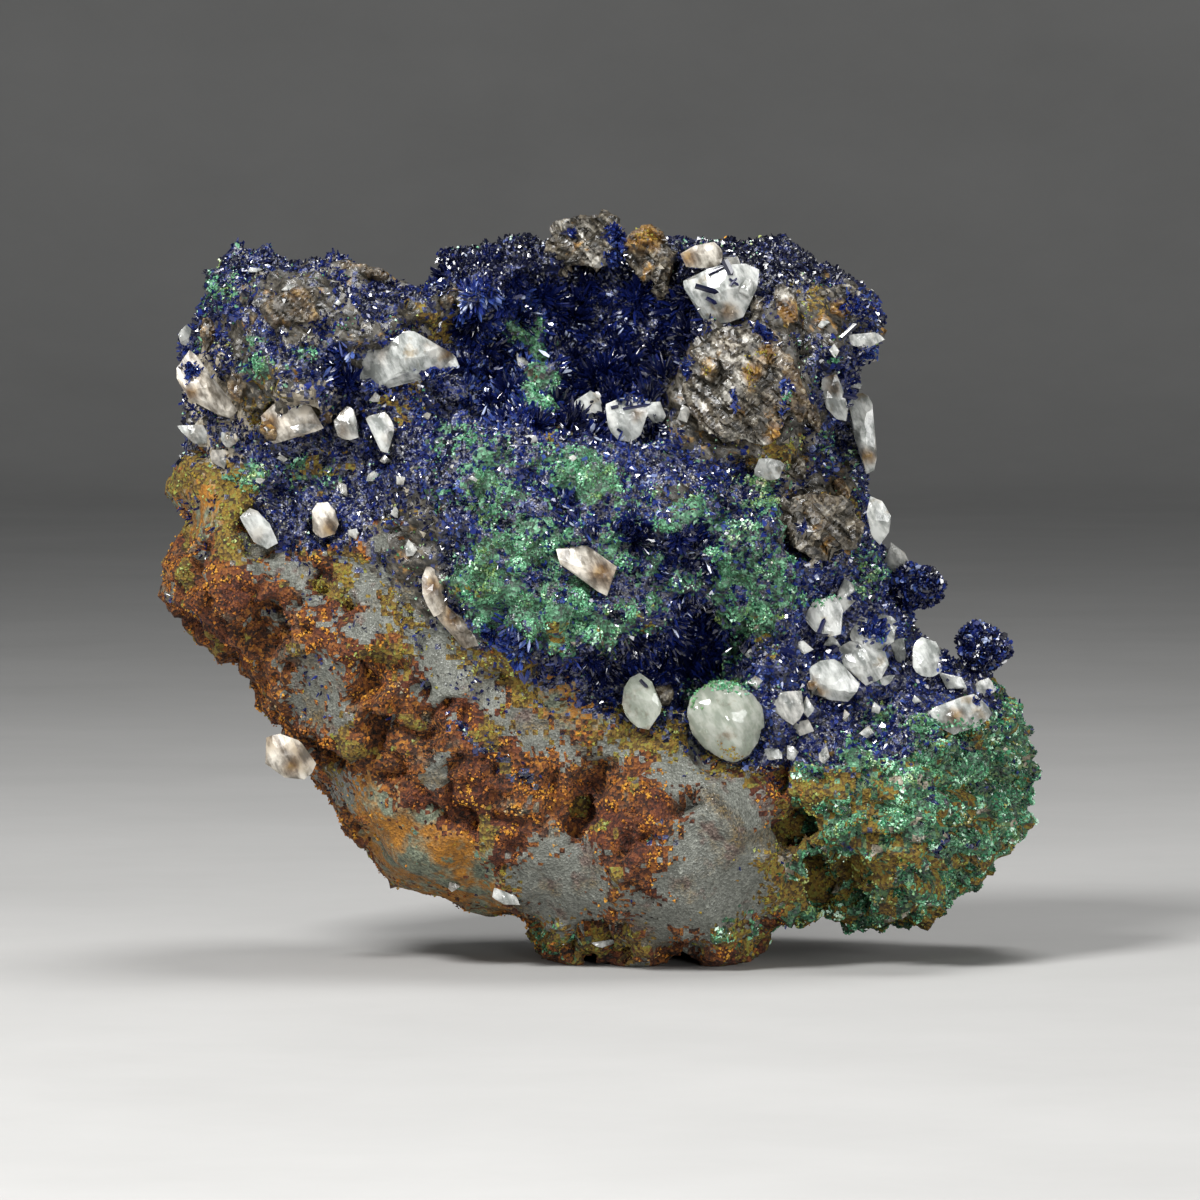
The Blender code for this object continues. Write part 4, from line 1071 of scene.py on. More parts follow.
SCHIST_OUTLINES = {
    "schist_large": [
        (9.8, 61.8), (11.4, 63.5), (14, 63.2), (16.4, 61.6), (18, 59.8), (19.2, 57.6), (19.4, 55.6),
        (18.4, 53.2), (16.5, 51.5), (14, 52), (12.6, 51.9), (10.6, 53), (9.2, 54.6), (7.9, 57),
        (7.6, 58.8), (8.6, 60.4),
    ],
    "schist_top_left": [
        (-6.3, 70.4), (-5.2, 72.2), (-3.8, 73.3), (-1.8, 74.1), (0.2, 74.3), (1.5, 73.4), (2.3, 72.2),
        (1.9, 70.8), (0.9, 69.3), (-0.8, 68.7), (-2.2, 69.3), (-4, 68.6), (-5.4, 68.4),
    ],
    "schist_top_right": [
        (2.6, 71.2), (3.1, 72.3), (4.4, 73.2), (5.4, 73.3), (6.6, 72.4), (6.8, 71.2), (7.8, 70.8),
        (7.5, 68.8), (6.9, 67), (6, 66.2), (5.2, 67.6), (3.8, 68.4), (2.6, 69.6),
    ],
    "schist_lower_right": [
        (17.4, 45.4), (19.2, 46.7), (21.6, 46.6), (24.2, 45.4), (26.2, 42.9), (25.4, 41.2),
        (23.6, 40.2), (21, 40.2), (18.8, 41.6), (17.7, 43.4),
    ],
}

# Small chips of quartz that sit in the rock: (x, z, width, height, turn, corners).
CHIPS = [
    (-41.4, 62.4, 1.6, 2.3, 20, 5), (-40.5, 52.6, 3.2, 2.8, -30, 4), (-38, 50.4, 2.8, 2.2, -20, 5),
    (5.8, 54.8, 2.4, 3, -10, 5), (13.3, 69.9, 1.9, 1.6, -35, 4), (25.8, 57.4, 1.4, 1.1, 10, 4),
    (23, 31.8, 2.1, 1.5, -10, 3), (35, 27.7, 3.4, 2, -28, 4), (38.2, 27, 2.6, 2.7, -30, 5),
    (18.9, 25.2, 3.2, 3.8, -20, 5), (20.1, 23.1, 2.6, 2, -8, 4), (20.8, 25.3, 1.2, 2, 10, 4),
    (17.3, 20.7, 2.1, 1.7, -30, 4), (15.5, 27.6, 2, 1.7, 0, 4), (21.2, 27.5, 1.5, 1.5, 15, 5),
    (26.6, 22.8, 1.6, 1.2, 0, 4), (20.4, 31.2, 2.6, 1.6, -20, 4), (17, 48.9, 3.4, 2.6, -30, 5),
    (-17.3, 54.4, 1.4, 1, 10, 4), (-37.2, 52, 2.2, 1.2, -30, 5), (-20, 48, 1, 1.6, 30, 4),
    (-31.6, 50.2, 1.2, 0.8, 0, 4), (-7.6, 59.6, 1.7, 3, 30, 4), (26.2, 61.9, 4.2, 1.9, 5, 5),
    (23.4, 61, 1.2, 1.5, 0, 4), (-21.5, 50, 1.4, 1, 0, 4), (-9.4, 6.2, 3.2, 1.6, -20, 5),
    (-14.6, 7.2, 1.8, 1.1, 10, 4), (0.6, 1.6, 2.6, 0.9, 0, 4), (-2.7, 50.2, 1, 0.8, 0, 4),
    (-6.9, 52.1, 1.6, 0.9, -20, 4), (24.6, 36.4, 2.2, 3.6, -18, 5), (29.8, 39.8, 1.8, 4.4, 38, 5),
    (29.9, 31, 1.7, 3, 0, 5), (34.2, 33.3, 1.4, 1.2, 20, 4), (8.4, 54.6, 1.6, 2.6, 15, 4),
    (-26.2, 65.6, 0.9, 0.8, 0, 4), (-31, 67.2, 1.5, 1, 10, 4), (-34.4, 69, 1.5, 0.8, 20, 4),
    (-22.4, 56.2, 1.4, 1.6, 20, 4), (28.5, 27.9, 2.2, 1.4, 15, 5), (-25.6, 47.2, 0.9, 2.1, 30, 4),
    (-12.6, 48.2, 1, 0.8, 0, 4), (26.6, 60.6, 2.4, 1.2, -30, 5), (28.6, 33.9, 2, 1.2, -20, 4),
    (22.2, 63.6, 1.4, 0.9, 10, 4), (-29.9, 53.1, 3.4, 0.9, 8, 5), (-22.8, 48.3, 1.3, 1.2, 0, 5),
    (33.6, 36.2, 1.3, 1.1, 0, 5), (15, 30.6, 1.2, 0.9, 0, 4), (11.9, 29.8, 1.4, 0.8, 0, 4),
    (-33.9, 47.9, 1.4, 0.8, 20, 4), (-20.4, 44.6, 0.9, 1.4, 20, 4), (-24.6, 42.8, 1.6, 1.3, 0, 5),
    (-18.9, 41, 1.3, 1.9, 20, 5), (31.6, 26, 1.2, 0.9, 0, 4), (27.6, 25.2, 1, 1.3, 20, 5),
    (14.6, 67.2, 1.6, 2, 10, 5), (22.4, 20.4, 1.3, 1.9, 0, 5), (24.6, 24.3, 1.2, 1.4, 30, 4),
    (19.3, 20.7, 1.4, 2, 10, 5),
]
# Chips with an outline of their own: one on the hollow's floor, one between the white pieces.
CUT_CHIPS = [
    [
        (-3.1, 54.4), (-2.4, 56), (-1, 56.9), (0.1, 56.5), (0.2, 54.8), (0, 53.1), (-1.3, 52.7),
        (-2.4, 53),
    ],
    [
        (23.9, 31.2), (25, 31.9), (26.6, 30.9), (28.4, 31.2), (28.9, 29.6), (28.2, 28.2), (26.6, 27.4),
        (25.6, 28.4), (24.4, 29.4),
    ],
]
# Cream chips with an outline of their own: the curved plate beside the green, and the clast in it.
CREAM_CHIPS = [
    [
        (-16.6, 39.7), (-15.8, 38.4), (-15.7, 36.2), (-15.1, 35), (-16.6, 34.3), (-17.6, 36.2),
        (-17.8, 38.1), (-17.3, 39.5),
    ],
    [
        (-15.4, 35.5), (-14.4, 34.4), (-13.2, 33.6), (-11.8, 32.3), (-12.2, 31.4), (-13.7, 31.2),
        (-14.4, 32.6), (-16.3, 34.3),
    ],
    [
        (-4.4, 41.1), (-3, 40.9), (-1.5, 41.5), (0.1, 40.2), (1.7, 39.3), (1.2, 38.1), (0.7, 36.4),
        (-0.6, 37.3), (-2.4, 38.6), (-4, 39.6),
    ],
]
# Small slabs of schist: (x, z, width, height, turn, corners).
SLABS = [
    (18.6, 58.4, 3.2, 9, 22, 7), (21, 55, 2, 5, 25, 6), (18.6, 65.4, 3.2, 4.4, 10, 7),
    (15.9, 64.9, 2.2, 3.4, -10, 6), (23.6, 65.6, 5.4, 4.6, -20, 8), (24.2, 47.2, 3.2, 1.6, -60, 6),
    (-31, 65, 6.6, 4.4, 5, 9), (-36.2, 57.2, 3, 3.2, 20, 7), (-33.2, 52.9, 2, 2.4, 10, 6),
    (-27.9, 55, 1.4, 3.6, 35, 5), (-39, 62.6, 1.8, 4.4, 10, 6), (-24, 69, 7, 1.4, -12, 7),
    (-30.4, 58.4, 1.2, 2.2, 35, 5), (19.6, 49.4, 2.4, 3.4, 25, 6), (-34.6, 64, 1.4, 1.8, 0, 6),
    (-15.6, 65.8, 2.4, 1.8, 10, 6), (6.3, 26.6, 2.6, 2.4, 0, 6),
]
# Rusty stains on quartz and schist: (x, z, radius).
STAINS = [
    (12.9, 64.8, 1.2), (8.8, 70.2, 1.3), (23.3, 57.2, 0.9), (23.1, 58.6, 0.7), (35.6, 24.3, 1.3),
    (4.8, 72.4, 1.9), (3.6, 71.8, 1.2), (-33.2, 53.8, 1.4), (-15.3, 60.7, 1.1), (-40.8, 56.8, 1),
    (3.6, 54.6, 0.8), (15.1, 58.7, 1.2), (16.6, 60.6, 1.3), (21.2, 27.5, 0.9), (22, 26.8, 0.9),
    (-27, 43, 1.4), (26.8, 50.4, 1.3), (-30.4, 58.6, 1.3), (18.8, 64.9, 1.6), (16.7, 63.6, 1),
    (17.8, 52.6, 1.6), (23.8, 64.9, 1.2), (0.3, 38.6, 1.9), (-14.9, 34.6, 1.6), (-16.8, 37.4, 1.3),
    (10.8, 59, 0.9), (-30.9, 19.2, 1.2),
]


def outline_distance(spots, outline):
    """How far each spot is from a closed outline."""
    best = np.full(len(spots), 1e9)
    corners = np.array(outline, float)
    for start, end in zip(corners, np.roll(corners, -1, axis=0)):
        run = end - start
        share = np.clip((spots - start) @ run / (run @ run), 0, 1)
        best = np.minimum(best, np.linalg.norm(spots - start - share[:, None] * run, axis=1))
    return best


def polygon(x, z, width, height, turn, corners, draw):
    """An uneven outline with a few corners."""
    outline = []
    for corner in range(corners):
        around = 2 * math.pi * (corner + draw.uniform(-0.3, 0.3)) / corners
        reach = draw.uniform(0.62, 1.22)
        along = math.cos(around) * width / 2 * reach
        across = math.sin(around) * height / 2 * reach
        outline.append(turned_place(x, z, along, across, turn))
    return outline


def slab(outline, near, far, seed):
    """A small slab of schist: bevelled, layered and rough."""
    return chunk(outline, near, far, 0.28, (0.5, 5, 0.3), [(0.9, 0.15)], seed)


def cut_back(spots, outline, bevel, cuts, draw):
    """How far each spot of a broken face lies behind its foremost point: flat cuts slope down to
    the outline's edges, and a few more run across the middle."""
    corners = np.array(outline, float)
    middle = corners.mean(axis=0)
    span = np.linalg.norm(corners - middle, axis=1).mean()
    back = np.zeros(len(spots))
    for start, end in zip(corners, np.roll(corners, -1, axis=0)):
        run = (end - start) / np.linalg.norm(end - start)
        inward = np.array([-run[1], run[0]])
        inward *= np.sign((middle - start) @ inward)
        width, steep = bevel * draw.uniform(0.3, 1.6), draw.uniform(0.5, 1.5)
        back = np.maximum(back, steep * (width - (spots - start) @ inward))
    for _ in range(cuts):
        turn, steep = draw.uniform(0, 2 * math.pi), draw.uniform(0.15, 0.55)
        across = (spots - middle) @ (math.cos(turn), math.sin(turn))
        back = np.maximum(back, steep * (across - draw.uniform(-0.2, 0.4) * span))
    return back


def chunk(outline, near, far, net, shape, breaks, seed):
    """A broken piece: an outline of the face carried back from near to far along Y. shape is
    (bevel width, number of cuts, height of its layers), or a crown height alone for a rounded one.
    breaks holds (size, height) of its small flat breaks."""
    draw = np.random.default_rng(seed)
    count = len(outline)
    corners = np.array(outline, float)
    points = np.concatenate([
        np.insert(corners, 1, near, axis=1), np.insert(corners, 1, far, axis=1)
    ])
    mesh = bpy.data.meshes.new("chunk")
    sides = [(i, (i + 1) % count, count + (i + 1) % count, count + i) for i in range(count)]
    ends = [tuple(range(count)), tuple(range(2 * count - 1, count - 1, -1))]
    mesh.from_pydata((points * MM).tolist(), [], sides + ends)
    points, faces, edges = remeshed(mesh, net)
    spots = points[:, [0, 2]]
    share = np.clip((far - points[:, 1]) / (far - near), 0, 1)
    if len(shape) == 1:
        uneven = 1 + 0.4 * soft_noise(points, 3.0, seed)
        back = shape[0] * uneven * np.exp(-outline_distance(spots, outline) / (0.75 * shape[0]))
        points = smoothed(points, edges, 1)
    else:
        back = cut_back(spots, outline, shape[0], shape[1], draw)
        layer = (spots.sum(axis=1) / 1.9 + 0.5 * soft_noise(points, 2.5, seed)) % 1.0
        back += shape[2] * layer
    points[:, 1] += np.minimum(back, 0.8 * (far - near)) * share
    middle = corners.mean(axis=0)
    narrow = 1 - 0.35 * (1 - share[:, None])
    points[:, [0, 2]] = middle + (points[:, [0, 2]] - middle) * narrow
    normals = point_normals(points, faces)
    for size, height in breaks:
        points = points + normals * (height * facets(points, size, seed))[:, None]
        seed += 20
    points = at_depth(points[:, [0, 2]], points[:, 1])
    return (points, faces) if signed_volume(points, faces) > 0 else (points, faces[:, ::-1])


def anticlockwise(outline):
    """An outline's corners, in the order that keeps its inside at their left."""
    corners = np.array(outline, float)
    ahead = np.roll(corners, -1, axis=0)
    turn = (corners[:, 0] * ahead[:, 1] - ahead[:, 0] * corners[:, 1]).sum()
    return corners if turn > 0 else corners[::-1]


def side_of(a, b, c):
    """Above 0 where c lies to the left of the line from a to b."""
    return (b[..., 0] - a[..., 0]) * (c[..., 1] - a[..., 1]) - (b[..., 1] - a[..., 1]) * (
        c[..., 0] - a[..., 0]
    )


def crossed(rim):
    """Whether any two sides of an outline cross."""
    a, b = rim[:, None], np.roll(rim, -1, axis=0)[:, None]
    c, d = a.swapaxes(0, 1), b.swapaxes(0, 1)
    parted = (side_of(a, b, c) * side_of(a, b, d) < 0) & (side_of(c, d, a) * side_of(c, d, b) < 0)
    return parted.any()


def jagged(corners, step, draw):
    """An outline with its sides broken up unevenly, by large notches and small ones."""
    for _ in range(20):
        rim = corners
        for _ in range(6):
            broken = []
            for start, end in zip(rim, np.roll(rim, -1, axis=0)):
                run = end - start
                broken.append(start)
                if np.linalg.norm(run) > 1.5 * step:
                    across = np.array([-run[1], run[0]]) * draw.uniform(-0.12, 0.2)
                    broken.append(start + draw.uniform(0.35, 0.65) * run + across)
            rim = np.array(broken)
        if not crossed(rim):
            return rim
    return corners


def filled(points, outline_count):
    """Triangles that fill an outline, which is the first of the points, with the rest inside it."""
    made = delaunay_2d_cdt(
        [Vector(point) for point in points], [], [list(range(outline_count))], 1, 1e-6, True
    )
    source = [own[0] for own in made[3]]
    return np.array([[source[corner] for corner in face] for face in made[2]])


def shard(outline, near, far, seed):
    """Broken quartz that is widest at an outline of the face: flat breaks slope to the front, and
    it narrows unevenly to the back. near and far are its ends along Y."""
    draw = np.random.default_rng(seed)
    corners = anticlockwise(outline)
    span = np.ptp(corners, axis=0)
    step = np.clip(0.13 * span.mean(), 0.32, 0.6)
    rim = jagged(corners, step, draw)
    middle = rim.mean(axis=0)
    across = [np.arange(low, low + width, step) for low, width in zip(rim.min(axis=0), span)]
    inside = np.stack(np.meshgrid(*across), axis=-1).reshape(-1, 2)
    inside = inside + draw.uniform(-0.3, 0.3, inside.shape) * step
    inside = inside[inside_outline(inside, rim.tolist())]
    inside = inside[outline_distance(inside, rim) > 0.45 * step]
    spots = np.concatenate([rim, inside])
    back = cut_back(spots, corners, min(0.12 * span.min(), 0.45), 9, draw)
    back += draw.uniform(0, 0.04, len(spots))
    depth = near + np.minimum(back, 0.55 * (far - near))
    count = len(rim)
    rings, levels = [spots], [depth]
    # The rings behind the front: how far back, and how wide beside the outline.
    for share, reach in ((0.4, 0.93), (1.0, 0.6)):
        ring = middle + (rim - middle) * reach
        rings.append(ring)
        levels.append(depth[:count] + (far - depth[:count]) * share)
    starts = [0, len(spots), len(spots) + count]
    faces = [filled(spots, count), filled(rings[-1], count)[:, ::-1] + starts[-1]]
    here = np.arange(count)
    after = np.roll(here, -1)
    for first, second in zip(starts, starts[1:]):
        faces.append(np.stack([after + first, here + first, here + second], axis=1))
        faces.append(np.stack([after + first, here + second, after + second], axis=1))
    return at_depth(np.concatenate(rings), np.concatenate(levels)), np.concatenate(faces)


def signed_volume(points, faces):
    """Above 0 where four-cornered faces point out of the solid that they close."""
    a, b, c, d = (points[faces[:, i]] for i in range(4))
    return (np.cross(b - a, c - a) * (d + a)).sum()


def stained(points):
    """How rusty each point of a piece is, from 0 to 1."""
    spots = seen_spots(points)
    amount = np.zeros(len(points))
    for x, z, radius in STAINS:
        away = np.linalg.norm(spots - (x, z), axis=1) / radius
        amount = np.maximum(amount, 1 - away**2)
    amount += 0.35 * rough_noise(points, 0.8, 300) * (amount > 0.02)
    dirt = np.clip(rough_noise(points, 1.6, 305) + 0.1, 0, 1)
    dirt *= np.where(spots[:, 0] < LEFT_BLOCK_ENDS + 1, 0.8, 0.15)
    return np.clip(np.maximum(amount, dirt), 0, 1)


def build_cut_pieces():
    """Every quartz and schist piece that stands for a CAD solid. Returns the surfaces of both."""
    quartz_surfaces, schist_surfaces = [], []
    for seed, (node, outline) in enumerate(QUARTZ_OUTLINES.items()):
        low, high = corners_of(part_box(node))
        rounded = node == "quartz_dome"
        near, far = low[1] + 0.1, high[1] - 0.3
        if rounded:
            points, faces = chunk(outline, near, far, CHUNK_NET, (2.6,), [(3.4, 0.1)], QUARTZ_SEED)
        else:
            points, faces = shard(outline, near, far, QUARTZ_SEED + seed)
        finish = PIECE_FINISHES.get(node, MILKY_QUARTZ)
        name = node.replace("quartz", "broken_quartz")
        piece = mesh_object(name, points, faces, [finish], tint=stained(points), smooth=rounded)
        ride(piece, "quartz", node)
        quartz_surfaces.append((points, faces))
    for seed, (node, outline) in enumerate(SCHIST_OUTLINES.items()):
        low, high = corners_of(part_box(node))
        points, faces = chunk(
            outline, low[1] + 0.3, high[1] - 0.4, CHUNK_NET, (1.2, 8, 0.55),
            [(4.2, 0.8), (1.6, 0.22)], SCHIST_SEED + 70 * seed,
        )
        name = node.replace("schist", "schist_fragment")
        piece = mesh_object(name, points, faces, [SCHIST_ROCK], tint=stained(points))
        ride(piece, "schist", node)
        schist_surfaces.append((points, faces))
    return quartz_surfaces, schist_surfaces


def joined(surfaces):
    """One surface from several."""
    starts = np.cumsum([0] + [len(points) for points, _ in surfaces])
    faces = [faces + start for (_, faces), start in zip(surfaces, starts)]
    return np.concatenate([points for points, _ in surfaces]), np.concatenate(faces)


def build_set_pieces(name, slot, finish, make, places, outlined, seed, front):
    """Small pieces set in the rock, joined in one mesh: uneven ones at places, and others with
    outlines of their own. Returns its surface and its outlines."""
    draw = np.random.default_rng(SEED + seed)
    surfaces, outlines = [], []
    for number, outline in enumerate([polygon(*place, draw) for place in places] + list(outlined)):
        hits = [front.first_hit(*spot) for spot in [np.mean(outline, axis=0), *outline]]
        depths = sorted(hit[0][1] for hit in hits if hit is not None)
        if len(depths) < 3:
            continue
        stand = 0.4 + 0.28 * np.ptp(outline, axis=0).min()
        near = max(depths[len(depths) // 3] - stand, FOREMOST)
        far = np.clip(depths[-1] + 0.8, near + 2.0, near + 7.0)
        surfaces.append(make(outline, near, far, SET_PIECE_SEED + 40 * number))
        outlines.append(outline)
    points, faces = joined(surfaces)
    own = [np.full(len(spots), 0.5 * draw.random() ** 3) for spots, _ in surfaces]
    tint = np.maximum(stained(points), np.concatenate(own))
    piece = mesh_object(name, points, faces, [finish], tint=tint)
    ride(piece, slot)
    return (points, faces), outlines


class Front:
    """What the camera meets first, to set small things on."""

    def __init__(self, surfaces):
        self.trees = [
            BVHTree.FromPolygons(points.tolist(), faces.tolist()) for points, faces in surfaces
        ]

    def first_hit(self, x, z):
        """The place and outward direction that show at a face place, or None off the rock."""
        run = Vector((x, 0, z)) - Vector(EYE)
        hits = [tree.ray_cast(Vector(EYE), run) for tree in self.trees]
        hits = [hit for hit in hits if hit[0] is not None]
        if not hits:
            return None
        place, normal, _, _ = min(hits, key=lambda hit: hit[3])
        return np.array(place), np.array(normal if normal.dot(run) < 0 else -normal)


# Dust on the quartz and the schist: (x, z, half width, half height, turn, grains).
DUSTINGS = {
    "green": [
        (12.2, 27.6, 3.2, 0.9, -4, 220), (9.2, 26.4, 0.8, 1.4, 0, 60), (33.2, 23.2, 1.3, 1, 0, 70),
        (37, 23.4, 1.6, 0.8, 0, 60), (22, 36, 1.6, 0.6, 10, 60), (23.3, 60.1, 0.6, 0.4, 0, 40),
        (18.8, 56.5, 0.5, 0.7, 0, 30), (28, 32.2, 0.5, 0.4, 0, 30),
    ],
    "blue": [
        (18.6, 57.3, 0.6, 0.6, 0, 40), (13.4, 56.3, 0.5, 1.3, 10, 24), (18.2, 55.4, 0.4, 1.6, 0, 24),
        (27.2, 33.6, 1.1, 1.6, -20, 120), (28.1, 32.6, 0.6, 0.9, 0, 70),
        (25.6, 65.4, 1.6, 1.4, -30, 120), (26.6, 60.6, 1.2, 0.9, 0, 90), (-40.8, 58.9, 0.8, 0.9, 0, 90),
        (16.4, 62.6, 1.6, 0.7, -35, 90), (8.6, 59.2, 0.6, 0.9, 0, 60), (-22.6, 57.2, 1.6, 0.5, -20, 60),
        (-16.5, 58.9, 2.4, 0.4, 8, 80), (3.6, 55.9, 1.6, 0.5, -4, 60), (1.4, 70.2, 0.9, 0.8, 0, 120),
        (1.7, 72.2, 0.9, 1.3, 20, 170), (-2.9, 72.8, 0.5, 0.3, 0, 30), (20.4, 43.2, 0.6, 0.4, 0, 20),
        (37.6, 25.8, 0.4, 0.4, 0, 14), (38.9, 26.8, 0.3, 0.3, 0, 14), (25.4, 36.4, 0.6, 0.4, 0, 20),
        (34.6, 29.6, 0.8, 0.9, 0, 60),
    ],
    "rust": [
        (13.2, 20.6, 1.8, 0.5, -35, 50), (10.9, 58.9, 0.6, 0.6, 0, 20), (15, 58.8, 0.4, 1.6, 5, 30),
        (16.4, 60.7, 1.2, 0.4, -20, 30), (-34.6, 54, 0.7, 0.6, 0, 60), (-4.9, 52.6, 0.4, 0.8, -25, 60),
        (4.4, 72.5, 1.6, 0.6, -6, 50),
    ],
}
# Single blades that lie on the quartz: (x and z of one end, x and z of the other, width).
LAID_BLADES = [
    (9.5, 67.4, 11.9, 66.7, 0.55), (10.6, 66.2, 11.7, 65.6, 0.4), (10.8, 68.6, 12.6, 69.4, 0.5),
    (12.4, 70, 13.2, 68.4, 0.7), (12.9, 68.1, 13.9, 67.4, 0.25), (13, 67.4, 13.7, 68.2, 0.25),
    (24.3, 56.5, 25.8, 56.2, 0.5), (24.6, 55.3, 25.4, 55.6, 0.25), (2.3, 55.1, 5.2, 55.6, 0.3),
    (1.1, 55.2, 1.9, 55.4, 0.35), (1.7, 53.1, 2.2, 52.8, 0.25), (0.2, 53.2, 1.2, 52.3, 0.3),
    (2.6, 55.4, 3, 56.4, 0.25), (21.9, 32.7, 22.5, 34.2, 0.45), (21.6, 32.6, 22.9, 32.5, 0.25),
    (26.8, 28, 27.3, 28.2, 0.5), (9.8, 65, 10, 65.2, 0.2), (24.1, 62.2, 25.8, 63.8, 0.5),
    (-1, 55.8, -0.6, 55.9, 0.25), (4, 28, 4.8, 27.2, 0.35), (2, 24.6, 3, 23.8, 0.5),
    (0, 58.5, 1.1, 57.3, 0.5), (4.6, 61.6, 5.8, 60, 0.6), (-6.2, 66.5, -5, 67.8, 0.5),
    (18, 31, 19.6, 30.4, 0.8), (22.8, 30.6, 23.8, 31.4, 0.8), (-9.6, 68.8, -9, 68.2, 0.5),
]


def dust_pieces(front):
    """Grains and small crystals on the quartz and the schist."""
    draw = np.random.default_rng(SEED + 20)
    finishes = {
        "green": (CRUMB, MALACHITE_VELVET, "malachite", (0.3, 0.3, 0.3)),
        "blue": (WEDGE, AZURITE_GLASS, "azurite", (0.3, 0.16, 0.5)),
        "rust": (CRUMB, OCHRE_GRAINS, "iron_stained_rock", (0.26, 0.26, 0.16)),
    }
    for what, (shape, finish, slot, size) in finishes.items():
        places, normals = [], []
        for x, z, half_width, half_height, turn, count in DUSTINGS[what]:
            for along, across in draw.normal(size=(count, 2)) * 0.5 * (half_width, half_height):
                hit = front.first_hit(*turned_place(x, z, along, across, turn))
                if hit is not None:
                    places.append(hit[0])
                    normals.append(hit[1])
        places = np.array(places)
        up = unit(np.array(normals) + 0.45 * draw.normal(size=places.shape))
        sizes = np.array(size) * (0.6 + 0.8 * draw.random((len(places), 1)))
        tint = np.clip(0.2 + 0.6 * draw.random(len(places)), 0, 1)
        piece = grow_piece(
            what + "_dust", shape, places, up, across_from(up, draw), sizes, tint, finish
        )
        ride(piece, slot)


def lay_blades(front):
    """The single blades that lie on the quartz and the rock, each from one end to the other."""
    places, up, side, sizes = [], [], [], []
    for x1, z1, x2, z2, width in LAID_BLADES:
        start, end = front.first_hit(x1, z1), front.first_hit(x2, z2)
        if start is None or end is None:
            continue
        depth = min(start[0][1], end[0][1]) - 0.12
        ends = at_depth(np.array([(x1, z1), (x2, z2)]), np.array([depth, depth]))
        run = ends[1] - ends[0]
        places.append(ends[0])
        up.append(run / np.linalg.norm(run))
        side.append(np.cross(up[-1], (0, 1, 0)))
        sizes.append((width, width * 0.5, np.linalg.norm(run)))
    tint = np.random.default_rng(SEED + 21).random(len(places)) * 0.3
    piece = grow_piece(
        "azurite_laid_blades", PLATE, np.array(places), np.array(up), unit(np.array(side)),
        np.array(sizes), tint, AZURITE_GLASS,
    )
    ride(piece, "azurite")


# ---------------------------------------------------------------------------------------------
# Materials


def linear(colour):
    """An sRGB hex colour as linear red, green, blue and alpha."""
    parts = [int(colour[i : i + 2], 16) / 255 for i in (1, 3, 5)]
    return [p / 12.92 if p <= 0.04045 else ((p + 0.055) / 1.055) ** 2.4 for p in parts] + [1.0]


def add_node(tree, kind, links=(), inputs=(), stops=(), **settings):
    """Adds a node. links and inputs are (input, source socket) and (input, value) pairs, stops are
    (position, sRGB colour) along a colour ramp, and any other setting is the node's own."""
    node = tree.nodes.new(kind)
    for name, value in settings.items():
        setattr(node, name, value)
    for name, value in inputs:
        node.inputs[name].default_value = value
    for name, source in links:
        tree.links.new(source, node.inputs[name])
    for number, (position, colour) in enumerate(stops):
        elements = node.color_ramp.elements
        element = elements[number] if number < 2 else elements.new(1.0)
        element.position = position
        element.color = linear(colour)
    return node


